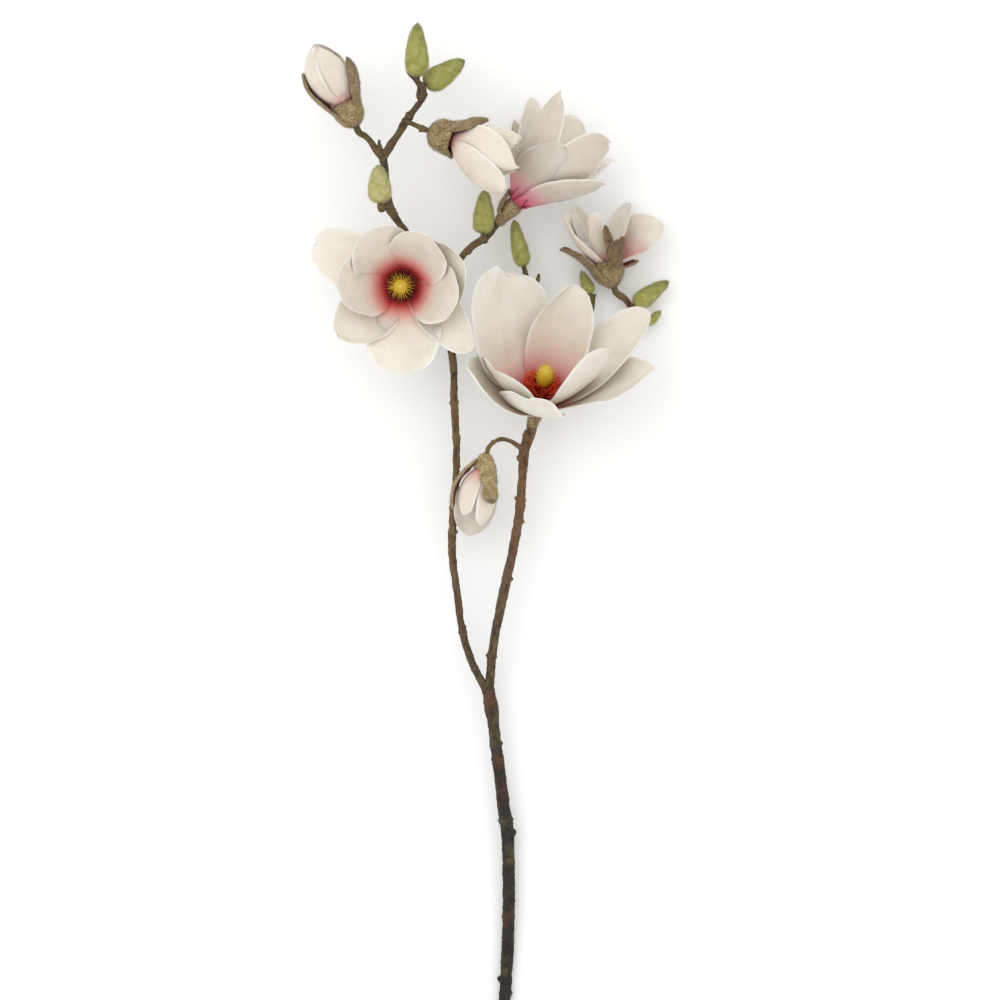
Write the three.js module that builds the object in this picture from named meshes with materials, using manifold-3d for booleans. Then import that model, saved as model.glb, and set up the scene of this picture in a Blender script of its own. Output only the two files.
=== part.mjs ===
// A cut magnolia branch lying on a surface, as it would be laid on a table.
// One forked bark stem carries three open blooms, four half-open flower buds in furry scales and
// eight green leaf buds. Millimetres, +Z up. The stem runs along +Y from its cut end, and the
// branch rests on that cut end and on bends of the twigs under the left bloom and to the right cluster.

import * as THREE from 'three';
import { mergeVertices } from 'three/addons/utils/BufferGeometryUtils.js';
import Module from 'manifold-3d';

const wasm = await Module();
wasm.setup();

// Driving dimensions
const seatGap = 0.3; // air between two pieces that rest on each other
const petalThickness = 0.8;
const scaleThickness = 1.5;
const petalRows = 5;
const petalColumns = 4;
const scaleRows = 4;
const scaleColumns = 2;
const limbSides = 8;
const twigSides = 6;
const footprintMiddle = [1.1, -4.7]; // of the branch as its stations are written
const lowest = 0.1;

const finish = (color, roughness) => new THREE.MeshStandardMaterial({ color, roughness, metalness: 0 });
const bark = finish('#5d4a35', 0.85);
const petalWhite = finish('#ece4db', 0.6);
const furBrown = finish('#8a7350', 0.95);
const budGreen = finish('#a9b060', 0.95);
const stamenRed = finish('#a92f24', 0.7);
const pistilYellow = finish('#d9b51e', 0.7);

const radians = THREE.MathUtils.degToRad;

// Solids and their joins

// The closed solid of a geometry, with its shared corners merged and collapsed faces left out.
function solidOf(geometry) {
  const bare = geometry.clone();
  bare.deleteAttribute('normal');
  bare.deleteAttribute('uv');
  const merged = mergeVertices(bare, 1e-4);
  const corners = merged.index.array;
  const kept = [];
  for (let i = 0; i < corners.length; i += 3) {
    const [a, b, c] = corners.slice(i, i + 3);
    if (a !== b && b !== c && c !== a) kept.push(a, b, c);
  }
  const vertProperties = merged.attributes.position.array;
  const mesh = new wasm.Mesh({ numProp: 3, vertProperties, triVerts: new Uint32Array(kept) });
  return new wasm.Manifold(mesh);
}

function geometryOf(solid) {
  const { numProp, vertProperties, triVerts } = solid.getMesh();
  const geometry = new THREE.BufferGeometry();
  const positions = new Float32Array(vertProperties);
  geometry.setAttribute('position', new THREE.BufferAttribute(positions, numProp));
  geometry.setIndex(new THREE.BufferAttribute(new Uint32Array(triVerts), 1));
  geometry.computeVertexNormals();
  return geometry;
}

// Joins geometries that grow from each other into one body. A scrap that hangs loose is dropped.
function fused(geometries) {
  const whole = geometries.map(solidOf).reduce((joined, next) => joined.add(next));
  const bodies = whole.decompose().sort((a, b) => b.volume() - a.volume());
  return geometryOf(bodies[0]);
}

function mesh(name, geometry, material) {
  const piece = new THREE.Mesh(geometry, material);
  piece.name = name;
  return piece;
}

// A profile of [radius, height] pairs turned about the local Z axis.
function turned(profile, sides) {
  const points = profile.map(([radius, height]) => new THREE.Vector2(radius, height));
  return new THREE.LatheGeometry(points, sides).rotateX(Math.PI / 2);
}

// A thin spike from a root point to a tip point.
function spike(root, tip, radius) {
  const along = new THREE.Vector3().subVectors(tip, root);
  const cone = new THREE.ConeGeometry(radius, along.length(), 3);
  cone.translate(0, along.length() / 2, 0);
  const up = new THREE.Vector3(0, 1, 0);
  cone.applyQuaternion(new THREE.Quaternion().setFromUnitVectors(up, along.normalize()));
  return cone.translate(root.x, root.y, root.z);
}

// A point at `turn` on a circle round Z.
function onCircle(radius, turn, height) {
  return new THREE.Vector3(radius * Math.cos(turn), radius * Math.sin(turn), height);
}

// Blades: petals and bud scales

// The share of its full width that a blade has at t, from its root at 0 to its tip at 1:
// a narrow claw swells to full width past the middle, then rounds off to the tip.
function outline(t, claw, point) {
  const swell = claw + (1 - claw) * Math.sin((Math.PI / 2) * Math.min(1, t / 0.56));
  return swell * (1 - t ** 4) ** point;
}

// A blade stands beside the local Z axis. Its midrib leaves the root, `from` out and `rise` up, and
// leans out from the axis by the angles of `open` at the root, middle and tip. Across, it is an arc
// of half-angle `cup`, hollow towards the axis. `sway` bends it sideways by a share of its length,
// `twist` turns it about its midrib, and `wave` ruffles its edges by so many millimetres.
function blade(shape, thickness, rows, columns) {
  const { around, from, rise, length, width, open, cup } = shape;
  const { claw = 0.3, point = 0.5, sway = 0, twist = 0, wave = 0 } = shape;
  const radial = new THREE.Vector3(Math.cos(radians(around)), Math.sin(radians(around)), 0);
  const aside = new THREE.Vector3(-Math.sin(radians(around)), Math.cos(radians(around)), 0);
  const up = new THREE.Vector3(0, 0, 1);
  const lean = (t) => radians(open[0] * (1 - t) ** 2 + 2 * open[1] * t * (1 - t) + open[2] * t * t);

  const inner = [];
  const outer = [];
  const substeps = 6;
  const lastRow = 0.992; // stops short of the tip, so that the blade ends in a short edge
  let out = from;
  let height = rise;
  let t = 0;
  for (let row = 0; row <= rows; row++) {
    const next = lastRow * Math.sin(((Math.PI / 2) * row) / rows) ** 0.9;
    const step = (next - t) / substeps;
    for (let k = 0; k < substeps; k++) {
      const angle = lean(t + (k + 0.5) * step);
      out += length * step * Math.sin(angle);
      height += length * step * Math.cos(angle);
    }
    t = next;
    const angle = lean(t);
    const rib = radial.clone().multiplyScalar(out).addScaledVector(up, height);
    rib.addScaledVector(aside, sway * length * t * t);
    const tangent = radial.clone().multiplyScalar(Math.sin(angle)).addScaledVector(up, Math.cos(angle));
    const across = aside.clone().applyAxisAngle(tangent, radians(twist) * t);
    const inward = new THREE.Vector3().crossVectors(tangent, across);
    const half = (width / 2) * outline(t, claw, point);
    for (let column = 0; column <= columns; column++) {
      const w = (2 * column) / columns - 1;
      const bend = cup * w;
      const phase = 2 * Math.PI * (1.3 * t + 0.21 * Math.sign(w)) + radians(around);
      const ruffle = wave * w * w * Math.sin(phase);
      const middle = rib.clone()
        .addScaledVector(across, (half * Math.sin(bend)) / cup)
        .addScaledVector(inward, (half * (1 - Math.cos(bend))) / cup + ruffle);
      const face = across.clone().multiplyScalar(-Math.sin(bend)).addScaledVector(inward, Math.cos(bend));
      inner.push(middle.clone().addScaledVector(face, thickness / 2));
      outer.push(middle.clone().addScaledVector(face, -thickness / 2));
    }
  }
  return closedSheet(inner, outer, rows, columns);
}

// Two grids of points, one for each face, joined into a closed sheet. Both faces are split the same way.
function closedSheet(inner, outer, rows, columns) {
  const at = (row, column) => row * (columns + 1) + column;
  const under = inner.length;
  const index = [];
  for (let row = 0; row < rows; row++) {
    for (let column = 0; column < columns; column++) {
      const a = at(row, column);
      const b = at(row + 1, column);
      const c = at(row + 1, column + 1);
      const d = at(row, column + 1);
      index.push(a, b, c, a, c, d);
      index.push(under + a, under + c, under + b, under + a, under + d, under + c);
    }
  }
  const rim = [];
  for (let row = 0; row < rows; row++) rim.push(at(row, 0));
  for (let column = 0; column < columns; column++) rim.push(at(rows, column));
  for (let row = rows; row > 0; row--) rim.push(at(row, columns));
  for (let column = columns; column > 0; column--) rim.push(at(0, column));
  rim.forEach((p, i) => {
    const q = rim[(i + 1) % rim.length];
    index.push(q, p, under + p, q, under + p, under + q);
  });
  const geometry = new THREE.BufferGeometry().setFromPoints([...inner, ...outer]);
  return geometry.setIndex(index);
}

const petal = (shape) => blade(shape, petalThickness, petalRows, petalColumns);
const scale = (shape) => blade(shape, scaleThickness, scaleRows, scaleColumns);

// Limbs: the stem, its branches and twigs

// A round limb through stations of [x, y, z, radius], with flat ends.
function limb(stations, sides = twigSides, ringsPerSpan = 1) {
  const line = new THREE.CatmullRomCurve3(stations.map(([x, y, z]) => new THREE.Vector3(x, y, z)));
  const girth = new THREE.SplineCurve(stations.map(([, , , radius], i) => new THREE.Vector2(i, radius)));
  const rings = (stations.length - 1) * ringsPerSpan;
  const points = [];
  const index = [];
  const side = new THREE.Vector3(1, 0, 0);
  for (let ring = 0; ring <= rings; ring++) {
    const t = ring / rings;
    const centre = line.getPoint(t);
    const tangent = line.getTangent(t);
    side.addScaledVector(tangent, -side.dot(tangent)).normalize();
    const other = new THREE.Vector3().crossVectors(tangent, side);
    for (let k = 0; k < sides; k++) {
      const turn = (2 * Math.PI * k) / sides;
      const radius = girth.getPoint(t).y;
      points.push(centre.clone()
        .addScaledVector(side, radius * Math.cos(turn))
        .addScaledVector(other, radius * Math.sin(turn)));
    }
  }
  for (let ring = 0; ring < rings; ring++) {
    for (let k = 0; k < sides; k++) {
      const a = ring * sides + k;
      const b = ring * sides + ((k + 1) % sides);
      index.push(a, b, b + sides, a, b + sides, a + sides);
    }
  }
  const last = rings * sides;
  for (let k = 1; k < sides - 1; k++) {
    index.push(0, k + 1, k);
    index.push(last, last + k, last + k + 1);
  }
  return new THREE.BufferGeometry().setFromPoints(points).setIndex(index);
}

// Where a bloom or bud sits

// A group whose local Z points along `heading` (degrees from +X towards +Y) and `lift` (degrees above the
// surface). With no roll, its local X is to the right of the heading and its local Y faces the surface.
function seated({ seat, heading, lift, roll = 0 }) {
  const h = radians(heading);
  const e = radians(lift);
  const axis = new THREE.Vector3(Math.cos(h) * Math.cos(e), Math.sin(h) * Math.cos(e), Math.sin(e));
  const right = new THREE.Vector3(Math.sin(h), -Math.cos(h), 0).applyAxisAngle(axis, radians(roll));
  const group = new THREE.Group();
  group.quaternion.setFromRotationMatrix(
    new THREE.Matrix4().makeBasis(right, new THREE.Vector3().crossVectors(axis, right), axis));
  group.position.set(...seat);
  return group;
}

// The stations of a twig that carries a bloom or bud, ended square to it and just short of its seat.
function stalk(stations, { seat, heading, lift }, radius) {
  const group = seated({ seat, heading, lift });
  const axis = new THREE.Vector3(0, 0, 1).applyQuaternion(group.quaternion);
  const end = new THREE.Vector3(...seat).addScaledVector(axis, -seatGap);
  const before = end.clone().addScaledVector(axis, -2.2 * radius);
  return [...stations, [...before.toArray(), radius], [...end.toArray(), radius]];
}

// The open blooms

const heartSides = 8;

// Red stamens in rings round a short column, leaning outwards. The column stands on the core of the petals.
function stamens({ base, radius, height, count, spread }) {
  const top = base + height * 0.55;
  const column = turned([[0, base], [radius, base], [radius * 0.8, top], [0, top]],
    heartSides);
  const filaments = [];
  for (let i = 0; i < count; i++) {
    const turn = (2 * Math.PI * i) / count;
    const ring = i % 2;
    const root = onCircle(radius * 0.5, turn, base + 1 + 2 * ring);
    const reach = spread * (1 - 0.22 * ring);
    const tip = onCircle(reach, turn, base + height * (0.8 + 0.2 * ring));
    filaments.push(spike(root, tip, 1.1));
  }
  return fused([column, ...filaments]);
}

// A yellow cone of carpels on top of the stamens' column, with its curled tips as short spikes.
function pistil({ base, radius, height, count, reach }) {
  const cone = turned([[0, base], [radius * 0.8, base], [radius, base + height * 0.35],
    [radius * 0.75, base + height * 0.75], [0, base + height]], heartSides);
  const tips = [];
  for (let i = 0; i < count; i++) {
    const turn = (2 * Math.PI * (i + 0.5)) / count;
    const level = base + height * (0.35 + 0.3 * (i % 2));
    const root = onCircle(radius * 0.3, turn, level - 1);
    const tip = onCircle(reach, turn, level + 1.5);
    tips.push(spike(root, tip, 0.9));
  }
  return fused([cone, ...tips]);
}

// A furry cup of scales fused at their feet, closed by a flat floor that the petals' core stands on.
function calyx({ cup, scales = [] }) {
  const [, top] = cup.at(-1);
  return fused([turned([[0, 0], ...cup, [0, top]], heartSides), ...scales.map(scale)]);
}

// The petals, fused at their feet to a small core.
function corolla({ core, petals }) {
  return fused([turned(core, heartSides), ...petals.map(petal)]);
}

function bloom(name, place) {
  const group = seated(place);
  group.add(mesh(`${name}_calyx`, calyx(place), furBrown));
  group.add(mesh(`${name}_petals`, corolla(place), petalWhite));
  if (place.stamens) {
    group.add(mesh(`${name}_stamens`, stamens(place.stamens), stamenRed));
    group.add(mesh(`${name}_pistil`, pistil(place.pistil), pistilYellow));
  }
  return group;
}

// The petals' core of an open bloom: a stub that stands on the calyx, up to the stamens.
const openCup = [[3.6, 0], [4.8, 7], [6.8, 18]];
const openCore = [[0, 18 + seatGap], [5, 18 + seatGap], [5.6, 22], [4.8, 26], [0, 26]];
const openPetal = { from: 3.2, rise: 21, length: 78, width: 54, cup: 0.55, claw: 0.4, point: 0.5 };
const openStamens = { base: 26 + seatGap, radius: 5, height: 18, count: 26, spread: 14.5 };
const openPistil = { base: 26 + 2 * seatGap + 18 * 0.55, radius: 6.2, height: 17, count: 14, reach: 9.5 };

const faceBloom = {
  seat: [-63.7, 187.9, 31], heading: 242, lift: 84, roll: -152, cup: openCup, core: openCore,
  petals: [
    { ...openPetal, around: 154, length: 77, width: 50, open: [70, 100, 112], point: 0.4, wave: 1 },
    { ...openPetal, around: 219, length: 72, width: 50, open: [62, 62, 40], wave: 1.5 },
    { ...openPetal, around: 329, length: 84, width: 49, open: [60, 68, 56], claw: 0.2, point: 0.6,
      sway: -0.13, twist: 14, wave: 1 },
    { ...openPetal, around: 16, length: 73, width: 62, open: [62, 54, 24], wave: 1.2 },
    { ...openPetal, around: 273, length: 79, width: 64, open: [58, 62, 46], point: 0.42 },
    { ...openPetal, around: 348, length: 73, open: [56, 46, 16], claw: 0.28, wave: 1.1 },
    { ...openPetal, around: 58, length: 74, width: 56, open: [56, 44, 14], wave: 1 },
    { ...openPetal, around: 121, length: 71, width: 56, open: [56, 48, 22], wave: 1.2 },
    { ...openPetal, around: 178, length: 69, width: 56, open: [56, 48, 20], wave: 1 },
  ],
  stamens: openStamens, pistil: openPistil,
};

const backBloom = {
  seat: [38.9, 74.6, 34.7], heading: 76, lift: 38, cup: openCup, core: openCore,
  petals: [
    { ...openPetal, around: 141, length: 110, width: 84, open: [58, 38, 24], point: 0.33, sway: -0.05,
      wave: 1.6 },
    { ...openPetal, around: 82, length: 103, width: 56, open: [56, 24, 6], point: 0.45 },
    { ...openPetal, around: 31, length: 115, width: 62, open: [58, 44, 30], sway: 0.03 },
    { ...openPetal, around: 2, length: 100, width: 60, open: [64, 54, 42], point: 0.62, wave: 2 },
    { ...openPetal, around: -17, length: 91, width: 50, open: [58, 18, 4], twist: -36 },
    { ...openPetal, around: 220, length: 70, width: 76, open: [68, 45, 24], claw: 0.2, twist: 12 },
    { ...openPetal, around: 169, length: 60, width: 44, open: [68, 64, 62], point: 0.7, wave: 1.5 },
    { ...openPetal, around: 208, length: 79, width: 72, open: [80, 58, 36], cup: 0.4, point: 0.7,
      wave: 1.5 },
    { ...openPetal, around: 262, length: 72, width: 60, open: [80, 52, 10], wave: 1.5 },
  ],
  stamens: openStamens, pistil: { ...openPistil, radius: 7, height: 21 },
};

const sideBloom = {
  seat: [11.1, 236.4, 37.8], heading: 46.5, lift: 10, cup: openCup, core: openCore,
  scales: [{ around: 185, from: 5.5, rise: 6, length: 20, width: 15, open: [40, 6, 0], cup: 0.8, claw: 0.7 }],
  petals: [
    { ...openPetal, around: -28, length: 75, width: 48, open: [40, 37, 30], cup: 0.6, point: 0.7 },
    { ...openPetal, around: 35, length: 82, width: 44, open: [40, 22, 16], cup: 0.7, point: 0.7,
      wave: 1.5 },
    { ...openPetal, around: -62, length: 103, width: 44, open: [40, 18, 8], cup: 0.7, wave: 1 },
    { ...openPetal, around: 110, length: 88, width: 46, open: [40, 16, 8], cup: 0.7, point: 0.4,
      wave: 1.5 },
    { ...openPetal, around: 228, length: 103, width: 48, open: [40, 22, 14], cup: 0.7, point: 0.66,
      wave: 1 },
    { ...openPetal, around: 150, length: 87, width: 44, open: [44, 38, 34], cup: 0.7, point: 0.4 },
    { ...openPetal, around: 150, length: 70, width: 40, open: [46, 54, 48], cup: 0.7, point: 0.8 },
    { ...openPetal, around: 173, length: 54, width: 34, open: [46, 46, 42], cup: 0.7 },
    { ...openPetal, around: 270, length: 71, width: 48, open: [40, 30, 10], cup: 0.8, point: 0.4 },
  ],
  stamens: { ...openStamens, count: 12, spread: 9 },
  pistil: { ...openPistil, count: 8, radius: 4.2, reach: 5.4 },
};

// The half-open flower buds

const budCup = [[3.4, 0], [8, 3], [11.5, 9], [11.5, 15]];
const budCore = [[0, 15 + seatGap], [7, 15 + seatGap], [13.5, 28], [14.5, 42], [9, 60], [0, 68]];
const budPetal = {
  from: 4, rise: 17, length: 60, width: 40, open: [56, 4, -34], cup: 1, claw: 0.4, point: 0.5,
};
const budScale = {
  from: 8.5, rise: 14, length: 44, width: 22, open: [62, 16, -14], cup: 0.5, claw: 0.7, point: 0.5,
};

const topLeftBud = {
  seat: [-102, 312.5, 57], heading: 117, lift: 8, cup: budCup, core: budCore,
  scales: [
    { ...budScale, around: -22, from: 10.5, rise: 12, length: 40, width: 21, open: [12, 46, -22] },
    { ...budScale, around: 172, from: 9, rise: 10, length: 47, width: 24, open: [21, 46, -31], claw: 0.85 },
  ],
  petals: [
    { ...budPetal, around: -20, from: 3.5, length: 58, width: 36, open: [42, -2, -48], claw: 0.55 },
    { ...budPetal, around: 190, from: 3.6, length: 66, open: [48, 16, -75] },
    { ...budPetal, around: 90, length: 62 },
    { ...budPetal, around: -85, from: 3, length: 58, width: 36, claw: 0.6 },
  ],
};

const middleBud = {
  seat: [-43, 307, 70], heading: -20, lift: 9, cup: [[3.4, 0], [9.5, 3], [13, 9], [13.3, 16]],
  core: [[0, 16 + seatGap], [7, 16 + seatGap], [10, 28], [10, 42], [6, 56], [0, 62]],
  scales: [
    { ...budScale, around: 200, from: 11.5, rise: 12, length: 32, width: 31, open: [8, 58, 0], cup: 0.7,
      claw: 0.8, point: 0.4 },
  ],
  petals: [
    { ...budPetal, around: 218, rise: 19, length: 63, width: 45, open: [58, 10, -12], point: 0.3 },
    { ...budPetal, around: -78, rise: 19, length: 67, width: 46, open: [48, 14, -8], point: 0.8 },
    { ...budPetal, around: -36, rise: 19, length: 64, width: 38, open: [52, 21, 2], twist: -24 },
    { ...budPetal, around: 90, rise: 19, width: 44, open: [48, 12, -6] },
  ],
};

const hangingBud = {
  seat: [2.4, 51, 48], heading: 257, lift: -3, cup: [[2.6, 0], [6, 3], [8, 9]],
  core: [[0, 9 + seatGap], [5, 9 + seatGap], [9, 20], [10, 36], [7, 54], [0, 60]],
  scales: [
    { ...budScale, around: 236, from: 6, rise: 6, length: 34, width: 19, open: [24, 52, -10], claw: 0.8,
      point: 0.38 },
    { ...budScale, around: 8, from: 6.5, rise: 5.5, length: 46, width: 18, open: [38, 34, -32], cup: 0.3,
      claw: 0.8 },
  ],
  petals: [
    { ...budPetal, around: -17, rise: 11, length: 45, width: 41, open: [48, 8, -38], claw: 0.5,
      point: 0.35 },
    { ...budPetal, around: 90, rise: 11, length: 63, width: 42, open: [54, 2, -30], claw: 0.25,
      point: 0.4 },
    { ...budPetal, around: 205, rise: 11, length: 50, width: 36, open: [48, 4, -34] },
  ],
};

const clusterBud = {
  seat: [104.5, 187, 15], heading: 111, lift: 16, cup: [[3.2, 0], [7.2, 3], [11.4, 9], [12.8, 16]],
  core: [[0, 16 + seatGap], [6, 16 + seatGap], [7, 24], [0, 31]],
  scales: [
    { ...budScale, around: 190, from: 10.5, rise: 11, length: 39, width: 26, open: [18, 24, 44],
      cup: 0.6, claw: 0.9 },
    { ...budScale, around: -68, from: 10.5, rise: 12, width: 9.5, open: [30, 16, 6], claw: 0.95 },
    { ...budScale, around: -60, from: 10.5, rise: 13, length: 34, width: 18, open: [34, 42, 32],
      point: 0.15 },
    { ...budScale, around: 14, from: 10.5, rise: 11, length: 15, width: 13, open: [94, 92, 78] },
  ],
  petals: [
    { ...budPetal, around: 196, rise: 18, length: 57, open: [43, 7, -4], twist: -50 },
    { ...budPetal, around: 140, rise: 18, length: 57, width: 32, open: [30, 3, -6] },
    { ...budPetal, around: 288, rise: 18, length: 50, width: 21, open: [28, 10, 2] },
    { ...budPetal, around: 13, rise: 18, length: 54, width: 52, open: [74, 71, 60], cup: 0.6, claw: 0.14,
      twist: 42 },
    { ...budPetal, around: 34, rise: 18, length: 54, width: 30, open: [50, 50, 44], cup: 0.8 },
  ],
};

// The green leaf buds

// An almond of two scales, one overlapping the other, cut flat at its foot.
function leafBud({ length, width, depth }) {
  const sides = 8;
  const profile = [[0, 0], [0.5, 0], [1, 0.2], [0.87, 0.5], [0.34, 0.94], [0, 1]];
  const body = turned(profile.map(([radius, height]) => [(radius * width) / 2, height * length]), sides);
  const corners = body.attributes.position;
  for (let i = 0; i < corners.count; i++) {
    const x = corners.getX(i);
    const y = corners.getY(i);
    const tuck = y < -1e-3 ? 0.86 : 1;
    corners.setXYZ(i, x * tuck, (y * tuck * depth) / width, corners.getZ(i));
  }
  return geometryOf(solidOf(body));
}

const leafBuds = {
  leaf_bud_top: { seat: [-52.6, 352.2, 64], heading: 90, lift: 10, roll: 30, length: 40, width: 20,
    depth: 14 },
  leaf_bud_top_right: { seat: [-46.2, 346.6, 49], heading: 31, lift: 6, roll: -20, length: 35, width: 21,
    depth: 12 },
  leaf_bud_fork: { seat: [-82.5, 252.5, 51.5], heading: 93, lift: 19, roll: 10, length: 29, width: 19,
    depth: 13 },
  leaf_bud_side: { seat: [-0.4, 228.6, 43], heading: 88, lift: 10, roll: 15, length: 33, width: 17.5,
    depth: 13 },
  leaf_bud_back: { seat: [31.7, 203.5, 23], heading: 102, lift: 8, roll: 20, length: 36, width: 14,
    depth: 10 },
  leaf_bud_low: { seat: [85.5, 181.5, 12], heading: 112, lift: 4, roll: 0, length: 18, width: 10,
    depth: 8 },
  leaf_bud_right: { seat: [122, 172, 13], heading: 35, lift: 6, roll: 10, length: 32, width: 15,
    depth: 10 },
  leaf_bud_right_small: { seat: [131.8, 157.2, 8], heading: 42, lift: 4, roll: 0, length: 14, width: 8,
    depth: 6 },
};

// The bark stem, with its branches, twigs and the stubs of shed twigs

function barkStem() {
  const trunk = [
    [15.6, -400, 4.6, 4.5], [16.8, -386.4, 4.7, 4.6], [18.1, -366, 5.2, 4.8], [19.3, -337.6, 6.6, 4.9],
    [19.9, -305, 8.4, 4.9], [19.7, -276.6, 10.2, 4.9], [18.9, -256.3, 11.6, 5.3], [16.4, -237.6, 13, 5],
    [13.2, -211.6, 15.2, 4.8], [10, -185.7, 17.2, 4.7], [7.6, -166.2, 18.8, 4.7], [5.9, -153.3, 19.8, 5.7],
    [4.7, -145.2, 20.6, 5.2], [4.3, -137.1, 21.4, 4.4],
  ];
  const leftBranch = [
    [4.7, -146.8, 20.6, 3.8], [0.7, -136.3, 21.4, 3.5], [-6.1, -124, 22.4, 3.2], [-13.4, -106.3, 23.6, 3],
    [-18.6, -83.7, 24.8, 2.9], [-21.8, -59.5, 25.8, 2.9], [-25, -35.4, 26.6, 3.1], [-25.7, -13.7, 27, 3.3],
    [-24.1, 8, 27, 3.2], [-22.5, 34.5, 27.2, 2.9], [-22.3, 62.5, 27.6, 2.9], [-24.1, 94.7, 28.4, 3],
    [-24.5, 120.4, 29, 3.1], [-28.2, 144.5, 29.4, 3.1], [-33, 165.5, 29.2, 3.3], [-37.8, 181.6, 29, 3.6],
  ];
  const rightBranch = [
    [4.7, -146.8, 20.8, 4.2], [4.7, -133.8, 22, 3.7], [6, -114.4, 23.6, 3.4], [9.6, -90.2, 25.6, 3.7],
    [15.2, -62.8, 27.8, 3.8], [21.2, -35.4, 29.8, 3.7], [26.5, -8.1, 31.4, 3.6], [29.7, 16.8, 32.4, 3.5],
    [31.3, 40.1, 33, 3.6], [32.5, 54.9, 33, 4.3],
  ];
  const upperBranch = [
    [-37.8, 179.6, 29, 3.4], [-45.1, 196.8, 29.5, 3.1], [-53.9, 213.6, 31, 2.9],
    [-64.3, 231.1, 34, 2.9], [-71.4, 241.3, 37, 3.1], [-77.3, 252.4, 40, 4.2],
    [-78.1, 262.5, 43, 3.3], [-79.1, 276.6, 47, 3], [-80.7, 288.4, 50, 3.6],
  ];
  const topTwig = [
    [-80.7, 287.2, 50, 3], [-74, 297.5, 53, 3.1], [-68.2, 306, 55.5, 3], [-62.8, 314.5, 58, 3.4],
    [-56, 324, 60, 2.6], [-50, 331.8, 61.5, 2.6], [-46.6, 338.5, 61.5, 2.8],
  ];
  const toSideBloom = [
    [-37, 178, 29, 2.9], [-29, 193.7, 29, 2.7], [-18.5, 208.9, 30, 2.6], [-8.9, 218.4, 32, 2.8],
    [0, 223.9, 34, 3], [6.6, 230, 36, 2.6],
  ];
  const toCluster = [
    [33.2, 56, 30, 2.8], [36.5, 67, 22.5, 2.6], [41, 79, 18, 2.5], [62, 99, 14.5, 2.5],
    [85, 120, 10.5, 2.4], [107, 138.5, 5, 2.4], [118, 150, 2.5, 2.4], [122, 161, 3.6, 2.5],
    [118.5, 170.5, 7.5, 2.4], [112.5, 177.5, 11.5, 2.4],
  ];
  const toBackLeafBud = [
    [61, 98, 14.8, 2.4], [58.5, 124, 16, 2.2], [49.5, 154, 17, 2.1], [39.5, 181, 17, 2],
    [34, 194.5, 18.5, 2],
  ];
  const toLowLeafBud = [
    [85, 120, 10.5, 2.2], [83.5, 140, 10.5, 2], [85.5, 160, 10.5, 1.9], [87.5, 173, 10.5, 1.9],
  ];
  const toFaceBloom = [
    [-41, 188, 29.2, 2.8], [-50, 196, 16, 2.7], [-58, 200, 5.5, 2.7], [-64, 198, 3, 2.7],
    [-66.5, 192.5, 10, 2.7],
  ];
  return fused([
    limb(trunk, limbSides),
    limb(leftBranch, limbSides),
    limb(stalk(rightBranch, backBloom, 4.1), limbSides),
    limb(upperBranch, limbSides),
    limb(topTwig),
    limb(stalk(toSideBloom, sideBloom, 3.2)),
    limb(stalk(toCluster, clusterBud, 2.6)),
    limb(stalk(toFaceBloom, faceBloom, 3)),
    limb(stalk([[-80.3, 286.6, 50, 3], [-87, 295.4, 52, 2.6], [-94.1, 304, 54.4, 2.4]], topLeftBud, 2.6)),
    limb(stalk([[-64.5, 316.6, 58, 2.5], [-58, 314, 61.5, 2.1], [-51.5, 310.6, 66, 2]], middleBud, 2.3)),
    limb(stalk([[32.4, 54, 33, 2.8], [22.4, 60.9, 40, 1.7], [13.6, 63, 46, 1.8], [7.2, 60, 48.5, 1.6]],
      hangingBud, 2)),
    limb(stalk([[-47.5, 337, 61.5, 2.5], [-48.3, 342, 61, 2.2]], leafBuds.leaf_bud_top, 2.2)),
    limb(stalk([[-50.5, 333.5, 61, 2.5], [-51.5, 339, 54, 2.3]], leafBuds.leaf_bud_top_right, 2.2)),
    limb(stalk([[-77.5, 250, 40, 3.4]], leafBuds.leaf_bud_fork, 2.6)),
    limb(stalk([[0.4, 222, 34, 2.6]], leafBuds.leaf_bud_side, 2.3)),
    limb(stalk(toBackLeafBud, leafBuds.leaf_bud_back, 2)),
    limb(stalk(toLowLeafBud, leafBuds.leaf_bud_low, 1.8)),
    limb(stalk([[122, 158, 3.2, 2.3]], leafBuds.leaf_bud_right, 2)),
    limb(stalk([[119, 149, 2.8, 2.2]], leafBuds.leaf_bud_right_small, 1.6)),
    ...stubs(),
  ]);
}

// Knots and stubs: each is a short limb from inside the bark to its tip.
function stubs() {
  return [
    [[18.5, -256, 12, 4], [23, -253.5, 13.5, 3.4], [25.2, -252.2, 14.2, 1.8]],
    [[18, -375, 5.5, 3.6], [13, -372.6, 7, 2.6], [10.8, -371.6, 7.6, 1.2]],
    [[32.4, 50, 33, 3.4], [28, 47, 34.5, 2.4], [27, 46, 35, 1]],
    [[33.6, 62, 33.6, 3.2], [33.2, 68.5, 36, 1.4], [33.2, 70.5, 36.6, 0.8]],
    [[-81, 290, 50, 2.6], [-83.4, 297.5, 52.5, 1.6], [-83.6, 301.5, 53.5, 1.1]],
    [[-50, 344, 60, 2], [-56.5, 351.5, 53, 1.6], [-61, 356.5, 52, 1.3]],
    [[40, 180, 17, 1.9], [43, 190, 16, 1.5], [44.2, 196.8, 15.6, 1.1]],
    [[87, 170, 10.5, 1.8], [88.6, 178, 10, 1.4], [89.8, 180.8, 9.8, 1]],
  ].map((stations) => limb(stations));
}

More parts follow.
